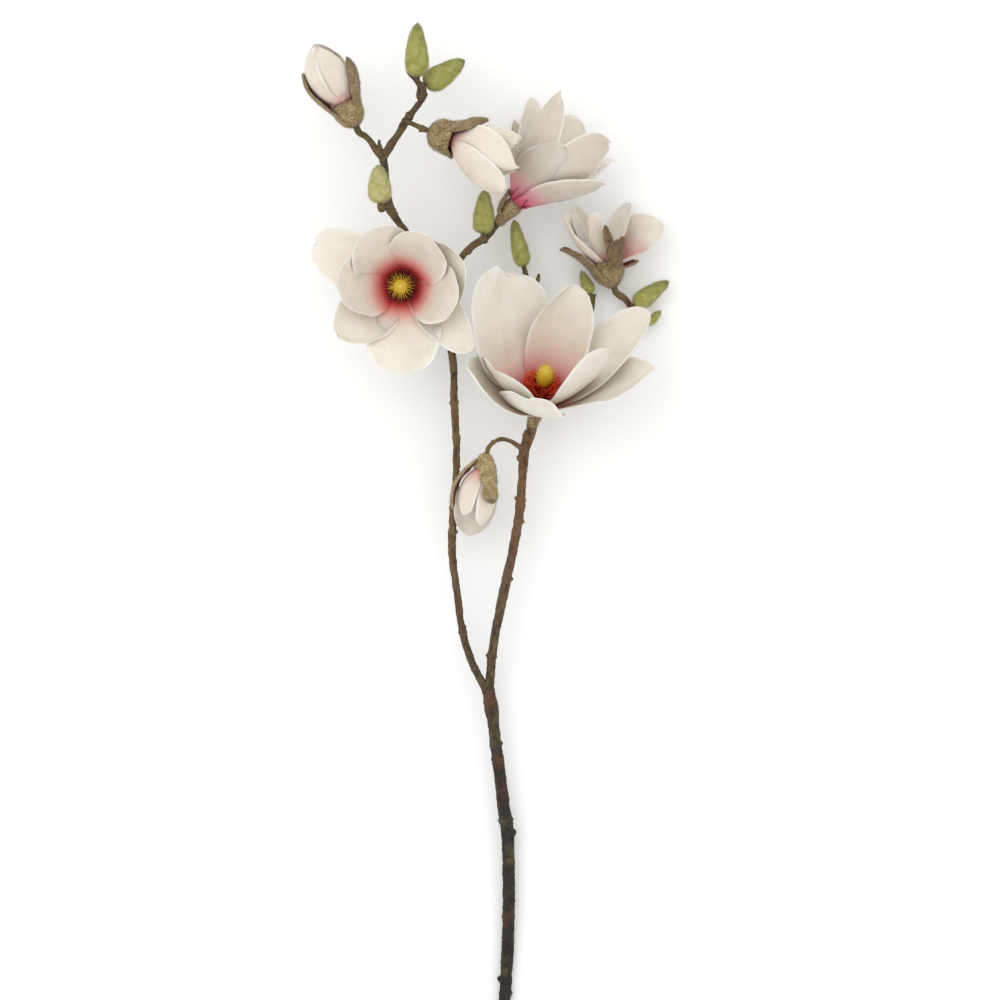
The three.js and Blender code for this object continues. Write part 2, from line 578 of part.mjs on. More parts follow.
const branch = new THREE.Group();
branch.add(mesh('bark_stem', barkStem(), bark));
branch.add(bloom('face_bloom', faceBloom));
branch.add(bloom('back_bloom', backBloom));
branch.add(bloom('side_bloom', sideBloom));
branch.add(bloom('top_left_bud', topLeftBud));
branch.add(bloom('middle_bud', middleBud));
branch.add(bloom('hanging_bud', hangingBud));
branch.add(bloom('cluster_bud', clusterBud));
for (const [name, place] of Object.entries(leafBuds)) {
  branch.add(seated(place).add(mesh(name, leafBud(place), budGreen)));
}

// The middle of the branch's footprint stands over the origin, and its lowest point is on the surface.
branch.position.set(-footprintMiddle[0], -footprintMiddle[1], -lowest);

export default branch;
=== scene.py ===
import bpy
import numpy as np
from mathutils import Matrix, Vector


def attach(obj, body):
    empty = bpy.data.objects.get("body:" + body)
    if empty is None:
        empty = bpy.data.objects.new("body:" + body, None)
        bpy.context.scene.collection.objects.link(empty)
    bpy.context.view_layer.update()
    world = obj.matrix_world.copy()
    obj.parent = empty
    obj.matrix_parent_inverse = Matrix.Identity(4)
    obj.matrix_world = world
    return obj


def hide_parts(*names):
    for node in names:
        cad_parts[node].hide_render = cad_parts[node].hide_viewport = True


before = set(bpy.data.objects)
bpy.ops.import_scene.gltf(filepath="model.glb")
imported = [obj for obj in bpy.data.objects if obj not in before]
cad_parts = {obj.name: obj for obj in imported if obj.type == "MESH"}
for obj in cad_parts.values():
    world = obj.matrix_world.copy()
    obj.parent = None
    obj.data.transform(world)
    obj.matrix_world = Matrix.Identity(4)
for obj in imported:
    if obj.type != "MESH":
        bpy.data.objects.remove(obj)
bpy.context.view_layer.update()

metresPerMm = 0.001
origin = np.array([1.1, -4.7, 0.1])  # where the frame's origin is, in the stations' own millimetres
latticeSize = 64  # of the noise's table of random numbers
onAxis = 0.05  # the radius in millimetres at which a turned piece starts and ends
goldenShare = 0.381966  # of a turn, from one stamen or carpel tip to the next


def linear(hexColour):
    # sRGB hex to linear: c/12.92 below 0.04045, otherwise ((c + 0.055)/1.055)^2.4
    c = np.array([int(hexColour[i:i + 2], 16) / 255 for i in (1, 3, 5)])
    c = np.where(c <= 0.04045, c / 12.92, ((c + 0.055) / 1.055) ** 2.4)
    return (*c.tolist(), 1.0)


def smooth(low, high, x):
    # 0 below low, 1 above high, with the cubic 3x^2 - 2x^3 between
    x = np.clip((x - low) / (high - low), 0, 1)
    return x * x * (3 - 2 * x)


def valueNoise(x, y, seed, period=latticeSize):
    # random numbers on a lattice, blended by the same cubic between them; repeats along x after `period`
    table = np.random.default_rng(seed).random((latticeSize, latticeSize)) * 2 - 1
    xi, yi = np.floor(x).astype(int), np.floor(y).astype(int)
    fx, fy = smooth(0, 1, x - xi), smooth(0, 1, y - yi)
    x0, x1, y0, y1 = xi % period, (xi + 1) % period, yi % latticeSize, (yi + 1) % latticeSize
    low = table[y0, x0] * (1 - fx) + table[y0, x1] * fx
    high = table[y1, x0] * (1 - fx) + table[y1, x1] * fx
    return low * (1 - fy) + high * fy


def unit(v):
    return v / np.maximum(np.linalg.norm(v, axis=-1, keepdims=True), 1e-12)


def gridNormals(points):
    # cross product of the steps along the rows and along the columns
    return unit(np.cross(np.gradient(points, axis=0), np.gradient(points, axis=1)))


# Parts of a mesh: each is a dictionary of points, faces (one array for each number of corners), UV and
# values at the points

def sheetPart(inner, outer, values, uv):
    # two grids of points, closed along their rim; the inner face looks along row step x column step
    rows, columns = inner.shape[:2]
    idx = np.arange(rows * columns).reshape(rows, columns)
    count = rows * columns
    a, b, c, d = idx[:-1, :-1], idx[1:, :-1], idx[1:, 1:], idx[:-1, 1:]
    innerFaces = np.stack([a, b, c, d], -1).reshape(-1, 4)
    outerFaces = np.stack([a, d, c, b], -1).reshape(-1, 4) + count
    rim = np.concatenate([idx[:-1, 0], idx[-1, :-1], idx[:0:-1, -1], idx[0, :0:-1]])
    after = np.roll(rim, -1)
    rimFaces = np.stack([after, rim, rim + count, after + count], -1)
    both = {name: np.concatenate([v.ravel(), v.ravel()]) for name, v in values.items()}
    both["inside"] = np.concatenate([np.ones(count), np.zeros(count)])
    return {"points": np.concatenate([inner.reshape(-1, 3), outer.reshape(-1, 3)]),
            "faces": [np.concatenate([innerFaces, outerFaces, rimFaces])],
            "uv": np.concatenate([uv.reshape(-1, 2)] * 2), "values": both}


def ringsPart(points, values=None, uv=None):
    # rings of points along a path, each closed on itself, with a fan to the middle of either end
    rings, sides = points.shape[:2]
    idx = np.arange(rings * sides).reshape(rings, sides)
    a, b = idx[:-1], np.roll(idx[:-1], -1, axis=1)
    c, d = np.roll(idx[1:], -1, axis=1), idx[1:]
    wall = np.stack([a, b, c, d], -1).reshape(-1, 4)
    first, last = rings * sides, rings * sides + 1
    foot = np.stack([np.full(sides, first), np.roll(idx[0], -1), idx[0]], -1)
    head = np.stack([np.full(sides, last), idx[-1], np.roll(idx[-1], -1)], -1)
    allPoints = np.concatenate([points.reshape(-1, 3), points[:1].mean(1), points[-1:].mean(1)])
    uv = np.zeros((rings, sides, 2)) if uv is None else uv
    allUv = np.concatenate([uv.reshape(-1, 2), uv[:1].mean(1), uv[-1:].mean(1)])
    flat = {name: np.concatenate([v.ravel(), v[:1].mean(1), v[-1:].mean(1)])
            for name, v in (values or {}).items()}
    return {"points": allPoints, "faces": [wall, np.concatenate([foot, head])], "uv": allUv,
            "values": flat}


def fibresPart(lines, radii, sides, values):
    # many thin tubes at once: lines is (fibre, ring, xyz); the last ring is drawn together to a point
    count, rings = lines.shape[:2]
    along = unit(np.gradient(lines, axis=1))
    helper = np.where(np.abs(along[..., 2:]) < 0.8, [[[0.0, 0.0, 1.0]]], [[[1.0, 0.0, 0.0]]])
    first = unit(np.cross(along, helper))
    second = np.cross(along, first)
    turn = 2 * np.pi * np.arange(sides) / sides
    offset = first[:, :, None] * np.cos(turn)[:, None] + second[:, :, None] * np.sin(turn)[:, None]
    tubes = lines[:, :-1, None] + radii[:, :-1, None, None] * offset[:, :-1]
    perFibre = (rings - 1) * sides + 1
    points = np.concatenate([tubes.reshape(count, -1, 3), lines[:, -1:]], axis=1)
    idx = np.arange((rings - 1) * sides).reshape(rings - 1, sides)
    a, b = idx[:-1], np.roll(idx[:-1], -1, axis=1)
    c, d = np.roll(idx[1:], -1, axis=1), idx[1:]
    wall = np.stack([a, b, c, d], -1).reshape(-1, 4)
    tip = np.stack([idx[-1], np.roll(idx[-1], -1), np.full(sides, perFibre - 1)], -1)
    step = (np.arange(count) * perFibre)[:, None, None]
    faces = [(tip + step).reshape(-1, 3), (idx[0][None, ::-1] + step[:, 0]).reshape(-1, sides)]
    if rings > 2:
        faces.append((wall + step).reshape(-1, 4))
    pointsPerRing = [sides] * (rings - 1) + [1]
    flat = {name: np.repeat(v, pointsPerRing, axis=1).ravel() for name, v in values.items()}
    noUv = np.zeros((count * perFibre, 2))
    return {"points": points.reshape(-1, 3), "faces": faces, "uv": noUv, "values": flat}


def makePiece(name, parts, material, node):
    # joins the parts into one mesh of one material, which rides on the body and stands in for its node
    points = np.concatenate([part["points"] for part in parts])
    points = (points - origin) * metresPerMm
    loops, sizes = [], []
    start = 0
    for part in parts:
        for faces in part["faces"]:
            loops.append((faces + start).ravel())
            sizes.append(np.full(len(faces), faces.shape[1]))
        start += len(part["points"])
    loops, sizes = np.concatenate(loops), np.concatenate(sizes)
    mesh = bpy.data.meshes.new(name)
    mesh.vertices.add(len(points))
    mesh.vertices.foreach_set("co", points.astype(np.float32).ravel())
    mesh.loops.add(len(loops))
    mesh.loops.foreach_set("vertex_index", loops.astype(np.int32))
    mesh.polygons.add(len(sizes))
    mesh.polygons.foreach_set("loop_start", (np.cumsum(sizes) - sizes).astype(np.int32))
    mesh.update(calc_edges=True)
    mesh.polygons.foreach_set("use_smooth", np.ones(len(sizes), bool))
    uvLayer = mesh.uv_layers.new(name="surface")
    uv = np.concatenate([part["uv"] for part in parts])
    uvLayer.data.foreach_set("uv", uv[loops].astype(np.float32).ravel())
    for key in sorted({key for part in parts for key in part["values"]}):
        column = np.concatenate([part["values"].get(key, np.zeros(len(part["points"]))) for part in parts])
        mesh.attributes.new(key, "FLOAT", "POINT").data.foreach_set("value", column.astype(np.float32))
    mesh.materials.append(material)
    piece = bpy.data.objects.new(name, mesh)
    bpy.context.scene.collection.objects.link(piece)
    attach(piece, "root")
    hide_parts(node)
    print("made", name, int((sizes - 2).sum()), "triangles")


# Where a bloom or bud sits: local Z along its heading and lift, local X to the right of the heading

def seatAxes(place):
    heading, lift, roll = np.radians([place["heading"], place["lift"], place.get("roll", 0)])
    axis = np.array([np.cos(heading) * np.cos(lift), np.sin(heading) * np.cos(lift), np.sin(lift)])
    right = np.array([np.sin(heading), -np.cos(heading), 0])
    right = right * np.cos(roll) + np.cross(axis, right) * np.sin(roll)
    return np.array([right, np.cross(axis, right), axis])


def placed(parts, place):
    # turns local points onto the seat: seat + x right + y under + z axis
    axes = seatAxes(place)
    for part in parts:
        part["points"] = np.array(place["seat"]) + part["points"] @ axes
    return parts


# Blades: petals and bud scales

petalThickness, scaleThickness = 0.8, 1.5
midribSteps = 400
bladeForm = {
    "widestAt": 0.56, "curlFrom": 0.78, "waistAt": 0.58, "waistSpan": 0.13,  # shares of the length
    "lastRow": 0.9998,  # just short of the tip, so that the faces there keep an area
    "rimCrowding": 0.18,  # puts the columns closer together at the rims
    "rimThinning": 0.6, "ribs": 26, "ribHigh": 0.05,
}
# A blade is this unless its own row says otherwise. Angles are in degrees. At, From and Span are shares
# of the length or of the half width. Ripple, flutter, wave and layer are millimetres off its surface.
plainBlade = {
    "claw": 0.3, "point": 0.5, "tipCurl": 0, "twist": 0, "sway": 0, "skew": 0, "waist": 0, "ragged": 0.02,
    "rollLeft": 0, "rollRight": 0, "rollAt": 0.6, "rollSpan": 0.3, "rollFrom": 0.7,
    "underLeft": 0, "underRight": 0, "flatTip": 0, "kinks": [],
    "ripple": 0.6, "flutter": 0.45, "wave": 0, "layer": 0, "pale": 1, "bare": 0,
}


def bladeGrid(shape, rows, columns):
    # Midrib: from the root, steps of (sin lean, cos lean), where the lean runs through open's three
    # angles as a parabola. Cross-section: slope angle cup*w + roll at the rims, integrated outwards
    # from the midrib. The width is claw + (1 - claw) sin(pi/2 min(1, t/widestAt)),
    # times (1 - t^4)^point. Ripples, ribs and fluted rims push along the normal.
    around = np.radians(shape["around"])
    radial = np.array([np.cos(around), np.sin(around), 0])
    aside = np.array([-np.sin(around), np.cos(around), 0])
    up = np.array([0.0, 0.0, 1.0])
    seed = int(shape["around"] * 7 + shape["length"] * 13) % 997  # each blade has its own noise
    claw, length = shape["claw"], shape["length"]
    openRoot, openMiddle, openTip = shape["open"]

    fine = np.linspace(0, 1, midribSteps + 1)
    lean = np.radians(openRoot * (1 - fine) ** 2 + 2 * openMiddle * fine * (1 - fine) + openTip * fine ** 2
                      + shape["tipCurl"] * smooth(bladeForm["curlFrom"], 1, fine) ** 1.5)
    stepOut, stepUp = np.sin(lean), np.cos(lean)
    out = np.concatenate([[0], np.cumsum((stepOut[1:] + stepOut[:-1]) / (2 * midribSteps))])
    height = np.concatenate([[0], np.cumsum((stepUp[1:] + stepUp[:-1]) / (2 * midribSteps))])
    out, height = shape["from"] + length * out, shape["rise"] + length * height

    t = bladeForm["lastRow"] * np.sin(np.pi / 2 * np.linspace(0, 1, rows + 1)) ** 0.9
    w = np.linspace(-1, 1, columns + 1)
    w = w * (1 + bladeForm["rimCrowding"] - bladeForm["rimCrowding"] * w * w)
    T, W = np.meshgrid(t, w, indexing="ij")
    rib = (np.interp(t, fine, out)[:, None] * radial + np.interp(t, fine, height)[:, None] * up
           + (shape["sway"] * length * t * t)[:, None] * aside)
    angle = np.interp(t, fine, lean)[:, None]
    tangent = np.sin(angle) * radial + np.cos(angle) * up
    twist = (np.radians(shape["twist"]) * t)[:, None]
    across = aside * np.cos(twist) + np.cross(tangent, aside) * np.sin(twist)
    inward = np.cross(tangent, across)

    swell = claw + (1 - claw) * np.sin(np.pi / 2 * np.minimum(1, t / bladeForm["widestAt"]))
    half = shape["width"] / 2 * swell * (1 - t ** 4) ** shape["point"]
    leftEdge, rightEdge = valueNoise(T * 9, W * 0, seed), valueNoise(T * 9, W * 0 + 7, seed)
    edge = 1 + shape["ragged"] * np.where(W < 0, leftEdge, rightEdge)
    waist = shape["waist"] * np.exp(-((T - bladeForm["waistAt"]) / bladeForm["waistSpan"]) ** 2)
    half = half[:, None] * edge * (1 - waist)

    rollShare = np.exp(-((T - shape["rollAt"]) / shape["rollSpan"]) ** 2)
    roll = np.where(W < 0, -shape["rollLeft"], shape["rollRight"])
    rolled = roll * smooth(shape["rollFrom"], 1, np.abs(W)) * rollShare
    tucked = np.where(W < 0, shape["underLeft"], -shape["underRight"]) * smooth(0.05, 0.45, np.abs(W))
    flattened = 1 - shape["flatTip"] * smooth(0.6, 1, T)
    slope = shape["cup"] * W * flattened + rolled + tucked * smooth(0, 0.35, T)
    for at, turn, start in shape["kinks"]:
        slope = slope + turn * smooth(at - 0.06, at + 0.06, W) * smooth(start, start + 0.3, T)

    def fromMidrib(steps):
        # adds up the steps across by the trapezium rule and measures from the middle column
        total = np.cumsum((steps[:, 1:] + steps[:, :-1]) / 2 * np.diff(w)[None], 1)
        total = np.concatenate([np.zeros((rows + 1, 1)), total], 1)
        return total - total[:, columns // 2:columns // 2 + 1]
    run, dip = fromMidrib(np.cos(slope)), fromMidrib(np.sin(slope))
    ruffle = shape["wave"] * W ** 2 * np.sin(2 * np.pi * (1.3 * T + 0.21 * np.sign(W)) + around)
    grid = rib[:, None] + across[:, None] * (half * run)[..., None]
    grid = grid + inward[:, None] * (half * dip + ruffle)[..., None]
    grid += tangent[:, None] * (shape["skew"] * length * W * smooth(0.45, 1, T) ** 2)[..., None]

    grown = smooth(0, 0.25, T) * (1 - smooth(0.93, 1, T))
    relief = shape["ripple"] * valueNoise(W * 2.2 + 9, T * 4.5, seed + 1) * grown
    relief += shape["layer"] * smooth(0.02, 0.25, T)
    relief += shape["flutter"] * np.abs(W) ** 3 * valueNoise(T * 11, W * 1.5 + 5, seed + 2) * grown
    # the ribs run together at both ends
    ribSpread = 0.35 + 0.65 * np.sin(np.pi * np.clip(T, 0, 1) ** 0.8)
    relief += bladeForm["ribHigh"] * np.cos(bladeForm["ribs"] * W / ribSpread) * grown
    grid = grid + gridNormals(grid) * relief[..., None]
    uv = np.stack([W * half / 10, T * length / 10], -1)
    return T, W, grid, uv


def bladePart(shape, thickness, rows, columns):
    # two faces half the thickness off the middle surface, thinned towards the rim
    T, W, grid, uv = bladeGrid(shape, rows, columns)
    normal = gridNormals(grid)
    rim = np.maximum(np.abs(W) ** 8, smooth(0.9, 1, T))
    halfThickness = thickness / 2 * (1 - bladeForm["rimThinning"] * rim)[..., None]
    # the blush reaches a little further along the middle than at the rims
    fromHeart = (shape["from"] + T * shape["length"] + 5 * W ** 2) * shape["pale"]
    values = {"fromHeart": fromHeart, "rim": np.abs(W)}
    return sheetPart(grid + normal * halfThickness, grid - normal * halfThickness, values, uv)


# Hairs: how unevenly they lean, the shortest and longest share of their length, and how deep they start
hairForm = {"stray": 0.32, "shortest": 0.6, "longest": 1.3, "rootedMm": 0.15, "sides": 3}


def furOn(grid, normal, count, length, width, seed, lay=0.75, keep=None):
    # hairs rooted on a grid, leaning towards its last row; `keep` gives the share that stays at a place
    rng = np.random.default_rng(seed)
    rows, columns = grid.shape[:2]
    r, c = rng.random(count) * (rows - 1.001), rng.random(count) * (columns - 1.001)
    if keep is not None:
        wanted = rng.random(count) < keep(r / (rows - 1), c / (columns - 1))
        r, c = r[wanted], c[wanted]
    ri, ci = r.astype(int), c.astype(int)
    fr, fc = (r - ri)[:, None], (c - ci)[:, None]

    def at(field):
        # blends the four neighbours on the grid
        return ((field[ri, ci] * (1 - fc) + field[ri, ci + 1] * fc) * (1 - fr)
                + (field[ri + 1, ci] * (1 - fc) + field[ri + 1, ci + 1] * fc) * fr)
    root, out, forward = at(grid), unit(at(normal)), unit(at(np.gradient(grid, axis=0)))
    stray = rng.normal(0, hairForm["stray"], root.shape)
    long = length * rng.uniform(hairForm["shortest"], hairForm["longest"], len(root))[:, None]
    aim = unit(out + forward * lay + stray)
    lines = np.stack([root - out * hairForm["rootedMm"], root + aim * long], 1)
    radii = np.repeat(np.array([[width / 2, 0]]), len(root), 0)
    shade = np.repeat(rng.random((len(root), 1)), 2, 1)
    return fibresPart(lines, radii, hairForm["sides"], {"hair": np.ones_like(shade), "hairShade": shade})


# Limbs: the stem, its branches and twigs

# The bark's roughness in millimetres: High and Deep are off the round limb, Long is the reach along it
barkForm = {
    "lumpHigh": 0.38, "lumpLong": 6.5, "plateHigh": 0.3, "plateLong": 1.9,
    "crackDeep": 0.3, "crackLong": 4.2, "scarsPerMm": 0.028, "scarHigh": 0.45, "scarLong": 0.6,
    "swellHigh": 0.28, "swellLong": 3.2, "budHigh": 1.5, "wartsPerMm": 0.16,
    "fullRadius": 3.2,  # a thinner limb is less rough in proportion
    "endShare": 0.82,  # the last ring is drawn in to this
}


def splineThrough(stations, spacing):
    # centripetal Catmull-Rom curve through [x, y, z, radius]: each span is a cubic with the slopes that
    # the neighbouring stations give, weighted by the square roots of their distances
    p = np.array(stations, float)
    p = np.concatenate([2 * p[:1] - p[1:2], p, 2 * p[-1:] - p[-2:-1]])
    spans = np.maximum(np.linalg.norm(np.diff(p[:, :3], axis=0), axis=1) ** 0.5, 1e-4)[:, None]
    a, b, c, d = p[:-3], p[1:-2], p[2:-1], p[3:]
    da, db, dc = spans[:-2], spans[1:-1], spans[2:]
    m1 = ((b - a) / da - (c - a) / (da + db) + (c - b) / db) * db
    m2 = ((c - b) / db - (d - b) / (db + dc) + (d - c) / dc) * db
    counts = np.maximum(2, np.ceil(spans[1:-1, 0] ** 2 / spacing)).astype(int)
    which = np.repeat(np.arange(len(counts)), counts)
    x = np.concatenate([np.arange(n) / n for n in counts])[:, None]
    b, c, m1, m2 = b[which], c[which], m1[which], m2[which]
    curve = b + m1 * x + (-3 * b + 3 * c - 2 * m1 - m2) * x ** 2 + (2 * b - 2 * c + m1 + m2) * x ** 3
    return np.concatenate([curve, p[-2:-1]])


def limbPart(stations, sides, spacing, seed):
    # a ring of points at each step of the curve; on its radius stand lumps, plates and cracks of
    # stretched noise, and warts, leaf scars and their knuckles as bells exp(-(distance / reach)^2)
    curve = splineThrough(stations, spacing)
    centres, radius = curve[:, :3], np.maximum(curve[:, 3], 0.3)
    tangent = unit(np.gradient(centres, axis=0))
    side = np.zeros_like(centres)
    side[0] = unit(np.cross(tangent[0], [0.31, 0.17, 0.94]))
    for ring in range(1, len(centres)):  # carries the side vector on without turning it
        side[ring] = unit(side[ring - 1] - tangent[ring] * (side[ring - 1] @ tangent[ring]))
    other = np.cross(tangent, side)
    travelled = np.concatenate([[0], np.cumsum(np.linalg.norm(np.diff(centres, axis=0), axis=1))])
    total = travelled[-1]
    turn = 2 * np.pi * np.arange(sides) / sides
    S, A = np.meshgrid(travelled, turn / (2 * np.pi), indexing="ij")
    form = barkForm
    cells = max(4, int(radius.mean() * 2.2))
    lumps = valueNoise(A * cells, S / form["lumpLong"], seed, cells) * form["lumpHigh"]
    plates = valueNoise(A * cells * 3, S / form["plateLong"], seed + 1, cells * 3) * form["plateHigh"]
    split = valueNoise(A * cells * 2, S / form["crackLong"], seed + 2, cells * 2)
    cracks = -form["crackDeep"] * smooth(0.35, 0.75, split)
    rng = np.random.default_rng(seed)
    wobble = valueNoise(A * 3, S * 0 + seed, seed + 3, 3) * 0.8
    scar, wart = np.zeros_like(S), np.zeros_like(S)
    for at in rng.uniform(4, max(5, total - 4), max(1, int(total * form["scarsPerMm"]))):
        around = np.abs((A - rng.random() + 0.5) % 1 - 0.5)
        ridge = np.exp(-((S + wobble - at) / form["scarLong"]) ** 2)
        swelling = np.exp(-((S + wobble - at) / form["swellLong"]) ** 2)
        scar += form["scarHigh"] * ridge + form["swellHigh"] * swelling
        wart += form["budHigh"] * np.exp(-((S - at - 1.2) / 1.3) ** 2 - (around / 0.09) ** 2)
    for at in rng.uniform(2, max(3, total - 2), int(total * form["wartsPerMm"])):
        around = np.abs((A - rng.random() + 0.5) % 1 - 0.5)
        wart += rng.uniform(0.3, 0.75) * np.exp(-((S - at) / 0.7) ** 2 - (around / 0.045) ** 2)
    relief = (lumps + plates + cracks + scar + wart) * np.minimum(1, radius / form["fullRadius"])[:, None]
    full = radius[:, None] + relief
    full[-1] = full[-1] * form["endShare"]
    spokes = side[:, None] * np.cos(turn)[:, None] + other[:, None] * np.sin(turn)[:, None]
    points = centres[:, None] + full[..., None] * spokes
    values = {"relief": relief, "scar": scar}
    uv = np.stack([A * radius.mean() * 0.628, S / 10], -1)
    return ringsPart(points, values, uv)


def stalk(stations, place, radius):
    # the stations of a twig, ended square to the bloom or bud that it carries
    gap, straight = 0.3, 2.2  # millimetres short of the seat, and radii of straight run before that
    axis = seatAxes(place)[2]
    end = np.array(place["seat"]) - axis * gap
    before = end - axis * straight * radius
    return [*stations, [*before, radius], [*end, radius]]


# Materials

def addNode(material, kind, inputs=None, stops=None, **settings):
    # adds a node with its settings: inputs are sockets or values, and stops fill a colour ramp
    tree = material.node_tree
    node = tree.nodes.new(kind)
    for key, value in settings.items():
        setattr(node, key, value)
    for key, value in (inputs or {}).items():
        if isinstance(value, bpy.types.NodeSocket):
            tree.links.new(value, node.inputs[key])
        else:
            node.inputs[key].default_value = value
    if stops:
        elements = node.color_ramp.elements
        while len(elements) < len(stops):
            elements.new(0.5)
        for element, (position, colour) in zip(elements, stops):
            element.position, element.color = position, linear(colour)
    return node


def newMaterial(name):
    material = bpy.data.materials.new(name)
    material.use_nodes = True
    material.node_tree.nodes.clear()
    return material


def finishMaterial(material, inputs):
    shader = addNode(material, "ShaderNodeBsdfPrincipled", inputs)
    addNode(material, "ShaderNodeOutputMaterial", {"Surface": shader.outputs[0]})
    return material


# Magnolia petal: air-filled white tissue under a thin waxy skin. It looks matt and creamy, lets a
# little light through, and its blush runs out from the heart along the veins.
petalLook = {
    # the darker white towards the heart is painted shade, low in the bowl where less light falls
    "white": "#E1DDD3", "cream": "#E2DBCB", "outer": "#DAD6CC", "deep": "#DCD2C4", "rim": "#F2EFE9",
    "rust": "#8A6A48", "rustShare": 0.12, "roughness": 0.5, "ior": 1.45,
    "throughMm": 1.6,  # how far light spreads inside
    "reachMm": 60, "streakMm": 6.0,  # what the ramps cover, and how far a streak moves them
}


def petalMaterial(name, innerStops, outerStops, footCreaseShade=None):
    # colour ramps over the distance from the heart, shaken by streaks drawn out along the petal
    look = petalLook
    material = newMaterial(name)
    heart = addNode(material, "ShaderNodeAttribute", attribute_name="fromHeart").outputs["Fac"]
    inside = addNode(material, "ShaderNodeAttribute", attribute_name="inside").outputs["Fac"]
    surface = addNode(material, "ShaderNodeUVMap", uv_map="surface").outputs[0]
    place = addNode(material, "ShaderNodeTexCoord").outputs["Object"]
    # veins about 1.2 mm apart and 12 mm long: the UV map is in centimetres
    drawn = addNode(material, "ShaderNodeMapping", {"Vector": surface, "Scale": (8, 0.8, 1)}).outputs[0]
    veins = addNode(material, "ShaderNodeTexNoise",
                    {"Vector": drawn, "Scale": 1.0, "Detail": 3}).outputs["Fac"]
    shaken = addNode(material, "ShaderNodeMath", {0: veins, 1: -0.5}, operation="ADD").outputs[0]
    shaken = addNode(material, "ShaderNodeMath", {0: shaken, 1: look["streakMm"], 2: heart},
                     operation="MULTIPLY_ADD").outputs[0]
    shaken = addNode(material, "ShaderNodeMath", {0: shaken, 1: look["reachMm"]},
                     operation="DIVIDE").outputs[0]
    inner = addNode(material, "ShaderNodeValToRGB", {"Fac": shaken}, innerStops).outputs[0]
    outer = addNode(material, "ShaderNodeValToRGB", {"Fac": shaken}, outerStops).outputs[0]
    colour = addNode(material, "ShaderNodeMix", {0: inside, 6: outer, 7: inner},
                     data_type="RGBA").outputs[2]
    # broad creamy clouds, 20 mm across, and faint veins
    clouds = addNode(material, "ShaderNodeTexNoise",
                     {"Vector": place, "Scale": 45.0, "Detail": 2}).outputs["Fac"]
    creamy = addNode(material, "ShaderNodeMapRange",
                     {0: clouds, 1: 0.45, 2: 0.75, 3: 0.0, 4: 0.35}).outputs[0]
    colour = addNode(material, "ShaderNodeMix", {0: creamy, 6: colour, 7: linear(look["cream"])},
                     data_type="RGBA", blend_type="MULTIPLY").outputs[2]
    lines = addNode(material, "ShaderNodeMapRange",
                    {0: veins, 1: 0.52, 2: 0.72, 3: 0.0, 4: 0.22}).outputs[0]
    colour = addNode(material, "ShaderNodeMix", {0: lines, 6: colour, 7: linear(look["cream"])},
                     data_type="RGBA", blend_type="MULTIPLY").outputs[2]
    # the outer seventh of the half width is thinner and takes a painted highlight; the foot may take a wine
    # red painted crease shade
    rim = addNode(material, "ShaderNodeAttribute", attribute_name="rim").outputs["Fac"]
    paintedRimHighlight = addNode(material, "ShaderNodeMapRange", {0: rim, 1: 0.86, 2: 1.0, 3: 0.0, 4: 0.6}).outputs[0]
    far = addNode(material, "ShaderNodeMapRange", {0: heart, 1: 24.0, 2: 40.0}).outputs[0]
    paintedRimHighlight = addNode(material, "ShaderNodeMath", {0: paintedRimHighlight, 1: far}, operation="MULTIPLY").outputs[0]
    # painted highlight: the rim colour lightens the petal edges away from the heart
    colour = addNode(material, "ShaderNodeMix", {0: paintedRimHighlight, 6: colour, 7: linear(look["rim"])},
                     data_type="RGBA", blend_type="LIGHTEN").outputs[2]
    # painted crease shade: near the foot the rims darken to a dark wine red, over the petals' own magenta
    if footCreaseShade:
        near = addNode(material, "ShaderNodeMapRange",
                       {0: heart, 1: 16.0, 2: 30.0, 3: 1.0, 4: 0.0}).outputs[0]
        edge = addNode(material, "ShaderNodeMapRange", {0: rim, 1: 0.86, 2: 1.0}).outputs[0]
        edge = addNode(material, "ShaderNodeMath", {0: near, 1: edge}, operation="MULTIPLY").outputs[0]
        colour = addNode(material, "ShaderNodeMix", {0: edge, 6: colour, 7: linear(footCreaseShade)},
                         data_type="RGBA").outputs[2]
    # a few rust spots half a millimetre wide, in one cell of eight on a 14 mm grid
    cells = addNode(material, "ShaderNodeTexVoronoi", {"Vector": place, "Scale": 70.0})
    spot = addNode(material, "ShaderNodeMath", {0: cells.outputs["Distance"], 1: 0.028},
                   operation="LESS_THAN").outputs[0]
    lot = addNode(material, "ShaderNodeSeparateColor", {0: cells.outputs["Color"]}).outputs[0]
    lot = addNode(material, "ShaderNodeMath", {0: lot, 1: look["rustShare"]},
                  operation="LESS_THAN").outputs[0]
    spot = addNode(material, "ShaderNodeMath", {0: spot, 1: lot}, operation="MULTIPLY").outputs[0]
    colour = addNode(material, "ShaderNodeMix", {0: spot, 6: colour, 7: linear(look["rust"])},
                     data_type="RGBA").outputs[2]
    bump = addNode(material, "ShaderNodeBump",
                   {"Strength": 0.35, "Distance": 0.0003, "Height": veins}).outputs[0]
    return finishMaterial(material, {
        "Base Color": colour, "Roughness": look["roughness"], "IOR": look["ior"],
        "Specular IOR Level": 0.35, "Normal": bump, "Subsurface Weight": 0.35,
        "Subsurface Radius": (1.0, 0.82, 0.7), "Subsurface Scale": look["throughMm"] * metresPerMm,
        "Sheen Weight": 0.08, "Sheen Roughness": 0.5,
    })
